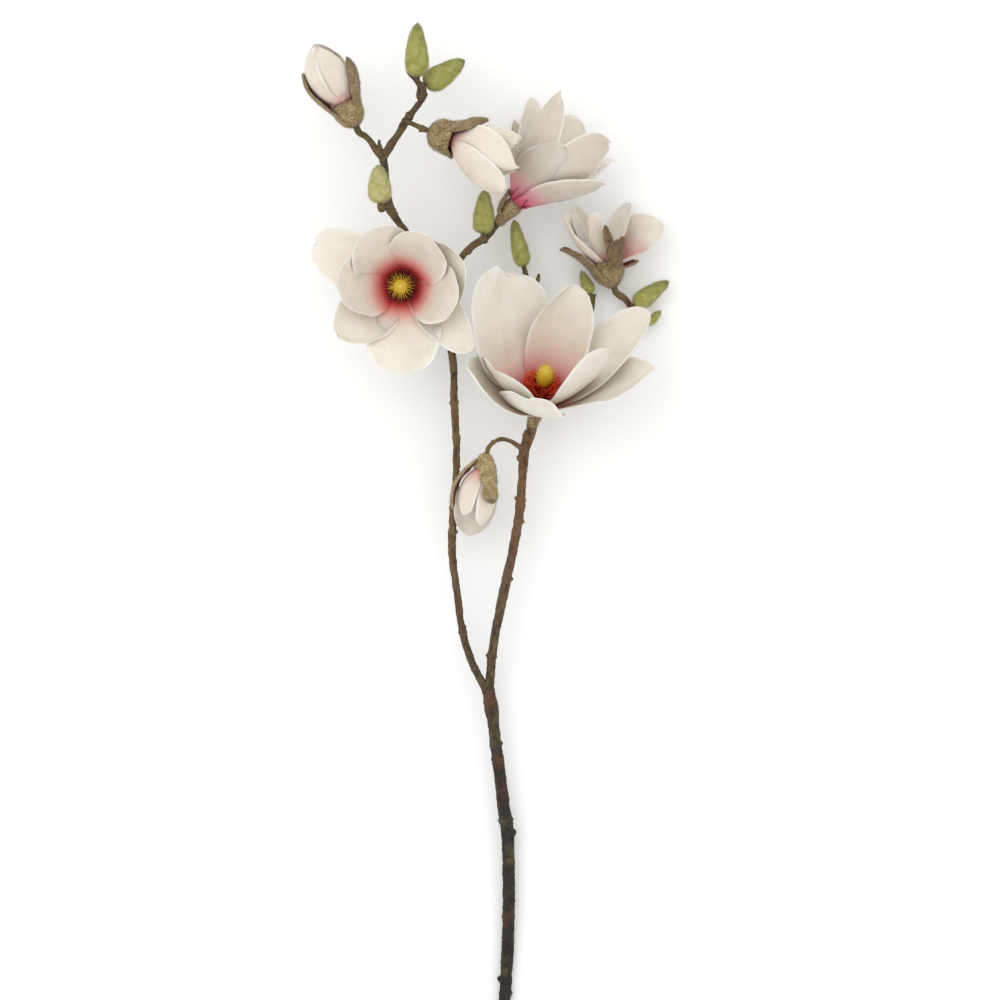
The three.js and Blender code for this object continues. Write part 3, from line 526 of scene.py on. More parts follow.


# the third of these, the darker white towards the heart, is painted shade low in the bowl
white, outerWhite, paintedBowlShade = petalLook["white"], petalLook["outer"], petalLook["deep"]
# the wine red heart is the petals' own; its near-black first stops are painted shade under the stamens
facePetal = petalMaterial("white petal, wine heart, painted heart shade", [
    (0.0, "#2E080A"), (0.21, "#560C10"), (0.26, "#B0282A"), (0.31, "#D05250"), (0.37, "#DB807A"),
    (0.44, "#DFA098"), (0.52, "#DFC1B6"), (0.63, paintedBowlShade), (1.0, white),
], [(0.0, "#A93452"), (0.15, "#C98490"), (0.35, "#D5C0B8"), (0.6, outerWhite)])
backPetal = petalMaterial("white petal, rose streaks", [
    (0.0, "#7E1418"), (0.18, "#A82A2E"), (0.27, "#C4605F"), (0.38, "#D09A92"), (0.52, "#D8C0B3"),
    (0.7, paintedBowlShade), (1.0, white),
], [(0.0, "#B2445A"), (0.1, "#CC9496"), (0.24, "#D6C6BC"), (0.45, outerWhite)])
# its dark wine foot rims are painted shade of the creases between the petals, over their own magenta foot
sidePetal = petalMaterial("white petal, magenta foot", [
    (0.0, "#7E1030"), (0.25, "#A82A48"), (0.42, "#C98A90"), (0.65, white),
], [
    (0.0, "#A62A50"), (0.2, "#CB5873"), (0.36, "#D38C98"), (0.5, "#D0ACAB"), (0.62, "#CABBB0"),
    (0.8, "#CBC4B9"),
], footCreaseShade="#6A1230")
budWhite = petalMaterial("white bud petal", [
    (0.0, "#8E2530"), (0.14, "#B5555C"), (0.26, "#CFA69E"), (0.42, white),
], [(0.0, "#B0404C"), (0.1, "#C66E70"), (0.22, "#D8B0A6"), (0.38, "#D9CFC2"), (0.8, "#DAD3C7")])


# Magnolia bud scale: a leathery scale under a dense coat of short silky hairs. It looks dull and soft,
# with a pale sheen at grazing angles, and speckled where the hairs part.
def furMaterial(name, dark, mid, pale, tips, innerColour, speckMm, relief=0.6):
    # short silky fur on a bud scale: speckles from `dark` to `pale`, hairs that end in the colour
    # `tips`, and a bare inner face
    material = newMaterial(name)
    place = addNode(material, "ShaderNodeTexCoord").outputs["Object"]
    hair = addNode(material, "ShaderNodeAttribute", attribute_name="hair").outputs["Fac"]
    hairShade = addNode(material, "ShaderNodeAttribute", attribute_name="hairShade").outputs["Fac"]
    inside = addNode(material, "ShaderNodeAttribute", attribute_name="inside").outputs["Fac"]
    specks = addNode(material, "ShaderNodeTexNoise",
                     {"Vector": place, "Scale": 1000 / speckMm / 2, "Detail": 4}).outputs["Fac"]
    # patches about 6 mm across
    patches = addNode(material, "ShaderNodeTexNoise",
                      {"Vector": place, "Scale": 160.0, "Detail": 2}).outputs["Fac"]
    both = addNode(material, "ShaderNodeMath", {0: patches, 1: 0.45, 2: specks},
                   operation="MULTIPLY_ADD").outputs[0]
    colour = addNode(material, "ShaderNodeValToRGB", {"Fac": both},
                     [(0.5, dark), (0.7, mid), (0.95, pale)]).outputs[0]
    bare = addNode(material, "ShaderNodeMath", {0: 1.0, 1: hair}, operation="SUBTRACT").outputs[0]
    within = addNode(material, "ShaderNodeMath", {0: inside, 1: bare}, operation="MULTIPLY").outputs[0]
    colour = addNode(material, "ShaderNodeMix", {0: within, 6: colour, 7: linear(innerColour)},
                     data_type="RGBA").outputs[2]
    lit = addNode(material, "ShaderNodeMapRange", {0: hairShade, 3: 0.1, 4: 0.8}).outputs[0]
    lit = addNode(material, "ShaderNodeMath", {0: lit, 1: hair}, operation="MULTIPLY").outputs[0]
    colour = addNode(material, "ShaderNodeMix", {0: lit, 6: colour, 7: linear(tips)},
                     data_type="RGBA").outputs[2]
    bump = addNode(material, "ShaderNodeBump",
                   {"Strength": relief, "Distance": 0.0004, "Height": specks}).outputs[0]
    return finishMaterial(material, {
        "Base Color": colour, "Roughness": 0.85, "IOR": 1.53, "Specular IOR Level": 0.2, "Normal": bump,
        "Sheen Weight": 0.35, "Sheen Roughness": 0.4,
    })


brownFur = furMaterial("silky brown bud fur", "#5E4A30", "#8F7853", "#BBA985", "#BBA985", "#5E2A1C", 0.7)
strawFur = furMaterial("silky straw bud fur", "#7A6340", "#A68F66", "#CDBD98", "#D6C8A6", "#7A2C1E", 0.7)
greenFur = furMaterial("silky green bud fur", "#90914A", "#A5A558", "#B6B572", "#C6C594",
                       "#8A9440", 2.4, 0.15)
paleGreenFur = furMaterial("silky pale green bud fur", "#AAA864", "#BEBA7C", "#CECA96", "#DAD8B0",
                           "#8A9440", 2.4, 0.15)


# Young magnolia bark: thin, dry and grey-brown over green living tissue. It looks dull and mottled.
barkLook = {
    "footToTop": [(0.0, "#1F1C18"), (0.24, "#26221E"), (0.38, "#4A382A"), (0.6, "#70543B"),
                  (0.85, "#625036"), (1.0, "#483928")],
    "olive": "#66603A", "rust": "#5E3523", "footFleck": "#4A443C", "topFleck": "#9A8258",
    "crack": "#1E1611", "roughness": 0.8, "ior": 1.53,
}


def barkMaterial():
    # darker and greyer at the foot, with olive and rusty patches, lenticels, dark cracks and pale scars
    look = barkLook
    material = newMaterial("young magnolia bark")
    place = addNode(material, "ShaderNodeTexCoord").outputs["Object"]
    height = addNode(material, "ShaderNodeSeparateXYZ", {0: place}).outputs["Y"]
    relief = addNode(material, "ShaderNodeAttribute", attribute_name="relief").outputs["Fac"]
    scar = addNode(material, "ShaderNodeAttribute", attribute_name="scar").outputs["Fac"]
    rise = addNode(material, "ShaderNodeMapRange", {0: height, 1: -0.4, 2: 0.34}).outputs[0]
    base = addNode(material, "ShaderNodeValToRGB", {"Fac": rise}, look["footToTop"]).outputs[0]
    # patches about 25 mm across
    patches = addNode(material, "ShaderNodeTexNoise",
                      {"Vector": place, "Scale": 38.0, "Detail": 3}).outputs["Fac"]
    olive = addNode(material, "ShaderNodeMapRange",
                    {0: patches, 1: 0.52, 2: 0.66, 3: 0.0, 4: 0.5}).outputs[0]
    colour = addNode(material, "ShaderNodeMix", {0: olive, 6: base, 7: linear(look["olive"])},
                     data_type="RGBA").outputs[2]
    rust = addNode(material, "ShaderNodeMapRange",
                   {0: patches, 1: 0.46, 2: 0.34, 3: 0.0, 4: 0.55}).outputs[0]
    colour = addNode(material, "ShaderNodeMix", {0: rust, 6: colour, 7: linear(look["rust"])},
                     data_type="RGBA").outputs[2]
    # lenticels about a millimetre long
    grain = addNode(material, "ShaderNodeTexNoise",
                    {"Vector": place, "Scale": 900.0, "Detail": 5}).outputs["Fac"]
    flecks = addNode(material, "ShaderNodeMapRange",
                     {0: grain, 1: 0.53, 2: 0.68, 3: 0.0, 4: 0.6}).outputs[0]
    fleckColour = addNode(material, "ShaderNodeMix",
                          {0: rise, 6: linear(look["footFleck"]), 7: linear(look["topFleck"])},
                          data_type="RGBA").outputs[2]
    colour = addNode(material, "ShaderNodeMix", {0: flecks, 6: colour, 7: fleckColour},
                     data_type="RGBA").outputs[2]
    low = addNode(material, "ShaderNodeMapRange",
                  {0: relief, 1: 0.05, 2: -0.4, 3: 0.0, 4: 0.65}).outputs[0]
    colour = addNode(material, "ShaderNodeMix", {0: low, 6: colour, 7: linear(look["crack"])},
                     data_type="RGBA").outputs[2]
    edge = addNode(material, "ShaderNodeMapRange", {0: scar, 1: 0.4, 2: 0.7, 3: 0.0, 4: 0.22}).outputs[0]
    colour = addNode(material, "ShaderNodeMix", {0: edge, 6: colour, 7: fleckColour},
                     data_type="RGBA").outputs[2]
    bump = addNode(material, "ShaderNodeBump",
                   {"Strength": 0.8, "Distance": 0.0004, "Height": grain}).outputs[0]
    return finishMaterial(material, {
        "Base Color": colour, "Roughness": look["roughness"], "IOR": look["ior"],
        "Specular IOR Level": 0.3, "Normal": bump,
    })


# Stamens and carpels: smooth, fleshy threads with a waxy skin. They take a soft highlight and let some
# light in.
def threadMaterial(name, stops):
    # waxy plant threads, coloured from root to tip
    material = newMaterial(name)
    along = addNode(material, "ShaderNodeAttribute", attribute_name="along").outputs["Fac"]
    place = addNode(material, "ShaderNodeTexCoord").outputs["Object"]
    grain = addNode(material, "ShaderNodeTexNoise",
                    {"Vector": place, "Scale": 700.0, "Detail": 2}).outputs["Fac"]
    moved = addNode(material, "ShaderNodeMath", {0: grain, 1: 0.3, 2: along},
                    operation="MULTIPLY_ADD").outputs[0]
    moved = addNode(material, "ShaderNodeMath", {0: moved, 1: -0.15}, operation="ADD").outputs[0]
    colour = addNode(material, "ShaderNodeValToRGB", {"Fac": moved}, stops).outputs[0]
    return finishMaterial(material, {
        "Base Color": colour, "Roughness": 0.5, "IOR": 1.45, "Specular IOR Level": 0.4,
        "Subsurface Weight": 0.15, "Subsurface Radius": (1.0, 0.4, 0.3), "Subsurface Scale": 0.0008,
    })


bark = barkMaterial()
darkThreads = threadMaterial("wine stamens",
                             [(0.0, "#1E0507"), (0.45, "#430C0E"), (0.8, "#7E2220"), (1.0, "#AC4A34")])
redThreads = threadMaterial("scarlet stamens",
                            [(0.0, "#5E120E"), (0.3, "#9E2216"), (0.65, "#C83A20"), (1.0, "#DA6238")])
yellowCarpels = threadMaterial("yellow carpels",
                               [(0.0, "#8A3B14"), (0.3, "#BC8A1E"), (0.6, "#D2AE2A"), (1.0, "#E8D270")])


# The open blooms

# Fur of the flower buds: hairs for each square millimetre, or each millimetre of rim, and sizes in mm
budFur = {"perMm2": 3.0, "cupLong": 1.7, "scaleLong": 1.8, "thick": 0.19,
          "fringePerMm": 30, "fringeLong": 1.3, "fringeThick": 0.17}
scaleSkin = {"ripple": 0.5, "flutter": 0.6, "ragged": 0.05}  # how uneven a bud scale is
carpelTips = 84

openCup = [[3.6, 0], [4.8, 7], [6.8, 18]]
openPetal = {"from": 3.2, "rise": 21, "length": 78, "width": 54, "cup": 0.55, "claw": 0.4, "point": 0.5}


def petalShapes(common, rows):
    # each row on top of what its flower's blades have in common, and both on top of a plain blade
    return [{**plainBlade, **common, **row} for row in rows]


faceBloom = {
    "seat": [-63.7, 187.9, 31], "heading": 242, "lift": 84, "roll": -152,
    "petals": petalShapes(openPetal, [
        {"around": 154, "length": 77, "width": 50, "open": [70, 100, 112], "point": 0.4, "wave": 1,
         "layer": -1.5},
        {"around": 219, "length": 72, "width": 50, "open": [62, 62, 40], "wave": 1.5, "layer": -1.5,
         "rollRight": 0.9, "rollAt": 0.8},
        {"around": 329, "length": 84, "width": 49, "open": [60, 68, 56], "claw": 0.2, "twist": 14,
         "sway": -0.13, "wave": 1, "layer": 1.2, "point": 0.6, "rollLeft": 1.0, "rollFrom": 0.35,
         "rollAt": 0.35, "rollSpan": 0.4},
        {"around": 16, "length": 73, "width": 62, "open": [62, 54, 24], "wave": 1.2, "layer": -0.8},
        {"around": 273, "length": 79, "width": 64, "open": [58, 62, 46], "point": 0.42, "underLeft": 0.22,
         "underRight": 0.2, "flatTip": 0.4},
        {"around": 348, "length": 73, "width": 54, "open": [56, 46, 16], "claw": 0.28, "underRight": 0.25,
         "wave": 1.1},
        {"around": 58, "length": 74, "width": 56, "open": [56, 44, 14], "layer": 0.8, "flatTip": 0.3,
         "wave": 1},
        {"around": 121, "length": 71, "width": 56, "open": [56, 48, 22], "underLeft": 0.3, "skew": -0.03,
         "wave": 1.2},
        {"around": 178, "length": 69, "width": 56, "open": [56, 48, 20], "underLeft": 0.25, "wave": 1,
         "rollRight": 0.7, "rollAt": 0.7},
    ]),
    "stamens": {"base": 26.3, "height": 18, "spread": 15.5, "count": 190, "material": darkThreads},
    "pistil": {"base": 36.5, "radius": 5.4, "height": 17, "reach": 10.4},
}
backBloom = {
    "seat": [38.9, 74.6, 34.7], "heading": 76, "lift": 38,
    "petals": petalShapes(openPetal, [
        {"around": 141, "length": 110, "width": 84, "open": [58, 38, 24], "sway": -0.05, "point": 0.33,
         "skew": 0.05, "kinks": [(0.3, -0.35, 0.1)], "wave": 1.6, "ripple": 1.0, "pale": 0.78},
        {"around": 82, "length": 103, "width": 56, "open": [56, 24, 6], "point": 0.45, "rollRight": 1.5,
         "rollAt": 0.95, "rollSpan": 0.2, "rollFrom": 0.5, "layer": 0.6, "pale": 0.66},
        {"around": 31, "length": 115, "width": 62, "open": [58, 44, 30], "sway": 0.03, "rollLeft": 0.6,
         "rollAt": 0.7},
        {"around": 2, "length": 100, "width": 60, "open": [64, 54, 42], "point": 0.62, "wave": 2,
         "ripple": 1.0},
        {"around": -17, "length": 91, "width": 50, "open": [58, 18, 4], "twist": -36, "rollRight": 1.8,
         "rollAt": 0.9, "rollSpan": 0.35, "rollFrom": 0.3},
        {"around": 220, "length": 70, "width": 76, "open": [68, 45, 24], "claw": 0.2, "twist": 12,
         "layer": 0.5},
        {"around": 169, "length": 60, "width": 44, "open": [68, 64, 62], "point": 0.7, "wave": 1.5,
         "flutter": 1.6},
        {"around": 208, "length": 79, "width": 72, "open": [80, 58, 36], "cup": 0.4, "point": 0.7,
         "wave": 1.5},
        {"around": 262, "length": 72, "width": 60, "open": [80, 52, 10], "wave": 1.5, "tipCurl": 30,
         "pale": 0.8},
    ]),
    "stamens": {"base": 26.3, "height": 24, "spread": 18, "count": 220, "material": redThreads},
    "pistil": {"base": 42, "radius": 6.4, "height": 19, "reach": 8.8},
}
sideBloom = {
    "seat": [11.1, 236.4, 37.8], "heading": 46.5, "lift": 10,
    "scales": petalShapes({"cup": 0.8, "claw": 0.7, "point": 0.5}, [
        {"around": 185, "from": 5.5, "rise": 6, "length": 20, "width": 15, "open": [40, 6, 0]},
    ]),
    "petals": petalShapes(openPetal, [
        {"around": -28, "length": 75, "width": 48, "open": [40, 37, 30], "cup": 0.6, "point": 0.7,
         "skew": -0.05},
        {"around": 35, "length": 82, "width": 44, "open": [40, 22, 16], "cup": 0.7, "point": 0.7,
         "wave": 1.5, "skew": 0.06},
        {"around": -62, "length": 103, "width": 44, "open": [40, 18, 8], "cup": 0.7, "tipCurl": 50,
         "skew": -0.05, "wave": 1},
        {"around": 110, "length": 88, "width": 46, "open": [40, 16, 8], "cup": 0.7, "wave": 1.5,
         "point": 0.4},
        {"around": 228, "length": 103, "width": 48, "open": [40, 22, 14], "cup": 0.7, "point": 0.66,
         "skew": -0.02, "underRight": -0.25, "wave": 1, "ripple": 1.0},
        {"around": 150, "length": 87, "width": 44, "open": [44, 38, 34], "cup": 0.7, "point": 0.4,
         "flutter": 1.4},
        {"around": 150, "length": 70, "width": 40, "open": [46, 54, 48], "cup": 0.7, "point": 0.8},
        {"around": 173, "length": 54, "width": 34, "open": [46, 46, 42], "cup": 0.7},
        {"around": 270, "length": 71, "width": 48, "open": [40, 30, 10], "cup": 0.8, "point": 0.4,
         "rollLeft": 0.6, "rollRight": 0.9, "rollAt": 0.85, "kinks": [(0.1, 0.3, 0.3)], "underLeft": 0.25,
         "layer": -1},
    ]),
    "stamens": {"base": 26.3, "height": 18, "spread": 9, "count": 90, "material": redThreads},
    "pistil": {"base": 36.5, "radius": 4.2, "height": 17, "reach": 5.4},
}


def turnedGrid(profile, rings, sides, seed, lumps=0.5):
    # a smooth curve through [radius, height] pairs, turned about the axis, with soft lumps
    curve = splineThrough([[r, h, 0, 0] for r, h in np.array(profile, float)], 1.0)
    distance = np.concatenate([[0], np.cumsum(np.linalg.norm(np.diff(curve[:, :2], axis=0), axis=1))])
    s = np.linspace(0, distance[-1], rings)
    radius, height = np.interp(s, distance, curve[:, 0]), np.interp(s, distance, curve[:, 1])
    turn = 2 * np.pi * np.arange(sides) / sides
    S, A = np.meshgrid(s, turn / (2 * np.pi), indexing="ij")
    lumpy = lumps * valueNoise(A * 6, S / 5, seed, 6) * np.minimum(1, radius / 4)[:, None]
    radius = np.maximum(radius, onAxis)[:, None] + lumpy
    height = np.broadcast_to(height[:, None], radius.shape)
    return np.stack([radius * np.cos(turn), radius * np.sin(turn), height], -1)


def closedNormals(grid):
    # outward normals of rings that close on themselves
    ahead = np.roll(grid, -1, 1) - np.roll(grid, 1, 1)
    return unit(np.cross(ahead, np.gradient(grid, axis=0)))


def calyxParts(place, cup, seed):
    # a furry cup with a thin lip, its scales, and hairs on all that faces outwards
    rings, sides = 64, 44
    (radius, top), lip = cup[-1], place.get("lip", 4.0)
    profile = [[onAxis, 0.0], *cup, [radius + 0.2, top + lip * 0.5], [radius - 0.4, top + lip],
               [radius - 1.2, top + lip - 0.2], [radius - 1.8, top + 0.6], [onAxis, top - 0.2]]
    grid = turnedGrid(profile, rings, sides, seed)
    peak = grid[..., 2].mean(1).argmax()  # the lip's ring; the later rings line the cup
    within = np.repeat((np.arange(rings) > peak)[:, None] * 1.0, sides, 1)
    closed = np.concatenate([grid, grid[:, :1]], 1)
    outward = closedNormals(grid)
    outward = np.concatenate([outward, outward[:, :1]], 1)
    fur = budFur
    area = 2 * np.pi * max(r for r, _ in cup) * top
    parts = [ringsPart(grid, {"inside": within}),
             furOn(closed, outward, int(area * fur["perMm2"] * 1.4), fur["cupLong"], fur["thick"], seed,
                   keep=lambda row, _: (row > 0.04) & (row < peak / rings))]
    for i, shape in enumerate(place.get("scales", [])):
        shape = {**shape, **scaleSkin}
        scale = bladePart(shape, scaleThickness, 40, 20)
        scale["values"]["inside"] = np.maximum(scale["values"]["inside"], shape["bare"])
        _, W, grid, _ = bladeGrid(shape, 40, 20)
        outward = -gridNormals(grid)
        number = int(shape["length"] * shape["width"] * fur["perMm2"])
        coat = furOn(grid + outward * 0.7, outward, number, fur["scaleLong"], fur["thick"], seed + 5 + i)
        rims = outward * 0.4 + np.sign(W)[..., None] * unit(np.gradient(grid, axis=1))
        fringe = furOn(grid, unit(rims), int(shape["length"] * fur["fringePerMm"]), fur["fringeLong"],
                       fur["fringeThick"], seed + 40 + i, keep=lambda _, column: np.abs(column - 0.5) > 0.46)
        parts += [scale, coat, fringe]
    return placed(parts, place)


def petalParts(place, cup, rows, columns):
    # the blades, and the core that they stand on
    low, rise = cup[-1][1] + 0.3, place["petals"][0]["rise"]
    core = turnedGrid([[onAxis, low], [4.6, low], [4.8, rise + 3], [onAxis, rise + 5]], 20, 24, 5)
    coreValues = {"fromHeart": np.zeros(core.shape[:2])}
    blades = [bladePart(shape, petalThickness, rows, columns) for shape in place["petals"]]
    if "wrapped" in place:
        # Inner petals still rolled round each other: a turned heart whose radius falls by up to `step`
        # along three slanting spirals, radius - step * fraction(3 turn + height / pitch).
        step, pitch = 1.3, 34.0
        heart = turnedGrid(place["wrapped"], 60, 72, 9, 0.2)
        height = heart[..., 2] - place["wrapped"][0][1]
        turn = np.arctan2(heart[..., 1], heart[..., 0]) / (2 * np.pi)
        radius = np.linalg.norm(heart[..., :2], axis=-1)
        lapped = step * ((3 * turn + height / pitch) % 1.0) * np.minimum(1, radius / 4)
        heart[..., :2] *= ((radius - lapped) / np.maximum(radius, 0.01))[..., None]
        blades.append(ringsPart(heart, {"fromHeart": height}))
    return placed([ringsPart(core, coreValues), *blades], place)


def stamenParts(place, spec, seed):
    # threads stand on the core and lean out: radius root + (reach - root) s^1.25, height rising as s^0.85
    rng = np.random.default_rng(seed)
    count, rings = spec["count"], 9
    s = np.linspace(0, 1, rings)
    turn = 2 * np.pi * (np.arange(count) * goldenShare) + rng.normal(0, 0.08, count)
    layer = rng.random(count)  # 0 for an inner, upright thread and 1 for an outer, leaning one
    reach = spec["spread"] * (0.55 + 0.45 * np.sqrt(layer)) * rng.uniform(0.92, 1.04, count)
    top = spec["height"] * (1.0 - 0.28 * layer) * rng.uniform(0.9, 1.02, count)
    root = 2 + 2.4 * layer
    radius = root[:, None] + (reach - root)[:, None] * s ** 1.25
    height = spec["base"] + top[:, None] * s ** 0.85
    sway = turn[:, None] + rng.normal(0, 0.16, count)[:, None] * s ** 2
    lines = np.stack([radius * np.cos(sway), radius * np.sin(sway), height], -1)
    girth = 0.62 * np.sin(np.pi * np.clip(0.25 + 0.62 * s, 0, 1)) * np.ones((count, 1))
    along = np.broadcast_to(s, (count, rings)) * (0.75 + 0.25 * rng.random((count, 1)))
    base = spec["base"]
    column = turnedGrid([[onAxis, base], [4.6, base], [4.4, base + 6], [3.6, base + 9.9],
                         [onAxis, base + 9.9]], 24, 24, seed)
    columnValues = {"along": np.zeros(column.shape[:2])}
    return placed([ringsPart(column, columnValues), fibresPart(lines, girth, 5, {"along": along})], place)


def pistilParts(place, spec, seed):
    # a dome of carpels, with curled tips that start all over it and reach outwards
    rng = np.random.default_rng(seed)
    base, radius, height = spec["base"], spec["radius"], spec["height"]
    outline = [[onAxis, base], [radius * 0.72, base], [radius * 0.95, base + height * 0.35],
               [radius * 0.78, base + height * 0.75], [onAxis, base + height]]
    dome = turnedGrid(outline, 40, 40, seed, 0.25)
    level = (dome[..., 2] - base) / height
    count, rings = carpelTips, 7
    s = np.linspace(0, 1, rings)
    turn = 2 * np.pi * (np.arange(count) * goldenShare)
    up = (np.arange(count) + 0.5) / count
    start = radius * 0.8 * np.sqrt(1 - (up * 0.98) ** 2)
    long = (spec["reach"] - radius) * (1.25 - 0.9 * up) + 1.2
    out = start[:, None] + long[:, None] * np.sin(s * np.pi / 2 * 0.9)
    rise = base + height * (0.25 + 0.72 * up)[:, None] + 2.6 * s ** 2 + rng.normal(0, 0.3, (count, 1))
    sway = turn[:, None] + rng.normal(0, 0.08, (count, 1)) * s
    lines = np.stack([out * np.cos(sway), out * np.sin(sway), rise], -1)
    girth = 0.3 * (1 - 0.6 * s) * np.ones((count, 1))
    along = np.broadcast_to(0.45 + 0.4 * s, (count, rings)).copy()
    return placed([ringsPart(dome, {"along": 0.25 + 0.6 * level}),
                   fibresPart(lines, girth, 5, {"along": along})], place)


print("open blooms")
for prefix, place, petalFinish, seed in (("face_bloom", faceBloom, facePetal, 11),
                                         ("back_bloom", backBloom, backPetal, 21),
                                         ("side_bloom", sideBloom, sidePetal, 31)):
    name = prefix.split("_")[0] + "Bloom"
    makePiece(name + "Calyx", calyxParts(place, openCup, seed), brownFur, prefix + "_calyx")
    makePiece(name + "Petals", petalParts(place, openCup, 60, 38), petalFinish, prefix + "_petals")
    spec = place["stamens"]
    makePiece(name + "Stamens", stamenParts(place, spec, seed), spec["material"], prefix + "_stamens")
    makePiece(name + "Pistil", pistilParts(place, place["pistil"], seed), yellowCarpels,
              prefix + "_pistil")

# The half-open flower buds

budPetal = {"from": 4, "rise": 17, "length": 60, "width": 40, "open": [56, 4, -34], "cup": 1, "claw": 0.4,
            "point": 0.5}
budScale = {"from": 8.5, "rise": 14, "length": 44, "width": 22, "open": [62, 16, -14], "cup": 0.5,
            "claw": 0.7, "point": 0.5}
topLeftBud = {
    "seat": [-102, 312.5, 57], "heading": 117, "lift": 8,
    "cup": [[3.4, 0], [8, 3], [11.5, 9], [11.5, 15]], "lip": 6,
    "scales": petalShapes(budScale, [
        {"around": -22, "from": 10.5, "rise": 12, "length": 40, "width": 21, "open": [12, 46, -22]},
        {"around": 172, "from": 9, "rise": 10, "length": 47, "width": 24, "open": [21, 46, -31],
         "claw": 0.85},
    ]),
    "petals": petalShapes(budPetal, [
        {"around": -20, "from": 3.5, "length": 58, "width": 36, "open": [42, -2, -48], "claw": 0.55},
        {"around": 190, "from": 3.6, "length": 66, "open": [48, 16, -75]},
        {"around": 90, "length": 62},
        {"around": -85, "from": 3, "length": 58, "width": 36, "claw": 0.6, "layer": 1.3},
    ]),
    "wrapped": [[0.05, 17], [6, 18], [10.5, 28], [11.2, 40], [8, 54], [3.5, 63], [0.05, 66]],
}
middleBud = {
    "seat": [-43, 307, 70], "heading": -20, "lift": 9, "cup": [[3.4, 0], [9.5, 3], [13, 9], [13.3, 16]],
    "scales": petalShapes(budScale, [
        {"around": 200, "from": 11.5, "rise": 12, "length": 32, "width": 31, "open": [8, 58, 0],
         "cup": 0.7, "claw": 0.8, "point": 0.4},
        {"around": 10, "from": 12, "rise": 13, "length": 10, "width": 24, "open": [0, 20, 10], "cup": 0.9,
         "claw": 0.9},
    ]),
    "petals": petalShapes({**budPetal, "rise": 19}, [
        {"around": 218, "length": 63, "width": 45, "open": [58, 10, -12], "point": 0.3, "layer": 2,
         "underRight": -0.45},
        {"around": -78, "length": 67, "width": 46, "open": [48, 14, -8], "point": 0.8, "underRight": -0.4,
         "underLeft": 0.35, "skew": 0.03},
        {"around": -36, "length": 64, "width": 38, "open": [52, 21, 2], "twist": -24, "underLeft": 0.3,
         "layer": -1.2},
        {"around": 90, "length": 60, "width": 44, "open": [48, 12, -6]},
    ]),
}
hangingBud = {
    "seat": [2.4, 51, 48], "heading": 257, "lift": -3, "cup": [[2.6, 0], [6, 3], [8, 9]],
    "scales": petalShapes({**budScale, "from": 6, "rise": 6}, [
        {"around": 236, "length": 34, "width": 19, "open": [24, 52, -10], "waist": 0.3, "tipCurl": 50,
         "point": 0.38, "claw": 0.8},
        {"around": 8, "from": 6.5, "rise": 5.5, "length": 46, "width": 18, "open": [38, 34, -32],
         "cup": 0.3, "claw": 0.8},
    ]),
    "petals": petalShapes({**budPetal, "rise": 11}, [
        {"around": -17, "length": 45, "width": 41, "open": [48, 8, -38], "point": 0.35, "claw": 0.5},
        {"around": 90, "length": 63, "width": 42, "open": [54, 2, -30], "point": 0.4, "claw": 0.25},
        {"around": 205, "length": 50, "width": 36, "open": [48, 4, -34]},
    ]),
}
clusterBud = {
    "seat": [104.5, 187, 15], "heading": 111, "lift": 16,
    "cup": [[3.2, 0], [7.2, 3], [11.4, 9], [12.8, 16]], "lip": 3,
    "scales": petalShapes(budScale, [
        {"around": 190, "from": 10.5, "rise": 11, "length": 39, "width": 26, "open": [18, 24, 44],
         "cup": 0.6, "claw": 0.9},
        {"around": -68, "from": 10.5, "rise": 12, "length": 44, "width": 9.5, "open": [30, 16, 6],
         "claw": 0.95},
        {"around": -60, "from": 10.5, "rise": 13, "length": 34, "width": 18, "open": [34, 42, 32],
         "point": 0.15, "bare": 0.5},
        {"around": 14, "from": 10.5, "rise": 11, "length": 15, "width": 13, "open": [94, 92, 78]},
        {"around": -118, "from": 12, "rise": 13.5, "length": 10, "width": 26, "open": [6, -4, -12],
         "cup": 0.9, "claw": 0.9},
    ]),
    "petals": petalShapes({**budPetal, "rise": 18}, [
        {"around": 196, "length": 57, "width": 40, "open": [43, 7, -4], "twist": -50},
        {"around": 140, "length": 57, "width": 32, "open": [30, 3, -6]},
        {"around": 288, "length": 50, "width": 21, "open": [28, 10, 2]},
        {"around": 13, "rise": 15.5, "length": 54, "width": 53, "open": [74, 71, 60], "cup": 0.6,
         "claw": 0.14, "twist": 42, "pale": 0.62},
        {"around": 34, "length": 54, "width": 30, "open": [50, 50, 44], "cup": 0.8},
    ]),
}

print("flower buds")
for prefix, name, place, seed in (("top_left_bud", "topLeftBud", topLeftBud, 41),
                                  ("middle_bud", "middleBud", middleBud, 51),
                                  ("hanging_bud", "hangingBud", hangingBud, 61),
                                  ("cluster_bud", "clusterBud", clusterBud, 71)):
    fur = strawFur if place is hangingBud else brownFur
    makePiece(name + "Calyx", calyxParts(place, place["cup"], seed), fur, prefix + "_calyx")
    makePiece(name + "Petals", petalParts(place, place["cup"], 48, 30), budWhite, prefix + "_petals")

# The green leaf buds: almonds of two scales, one lapped over the other

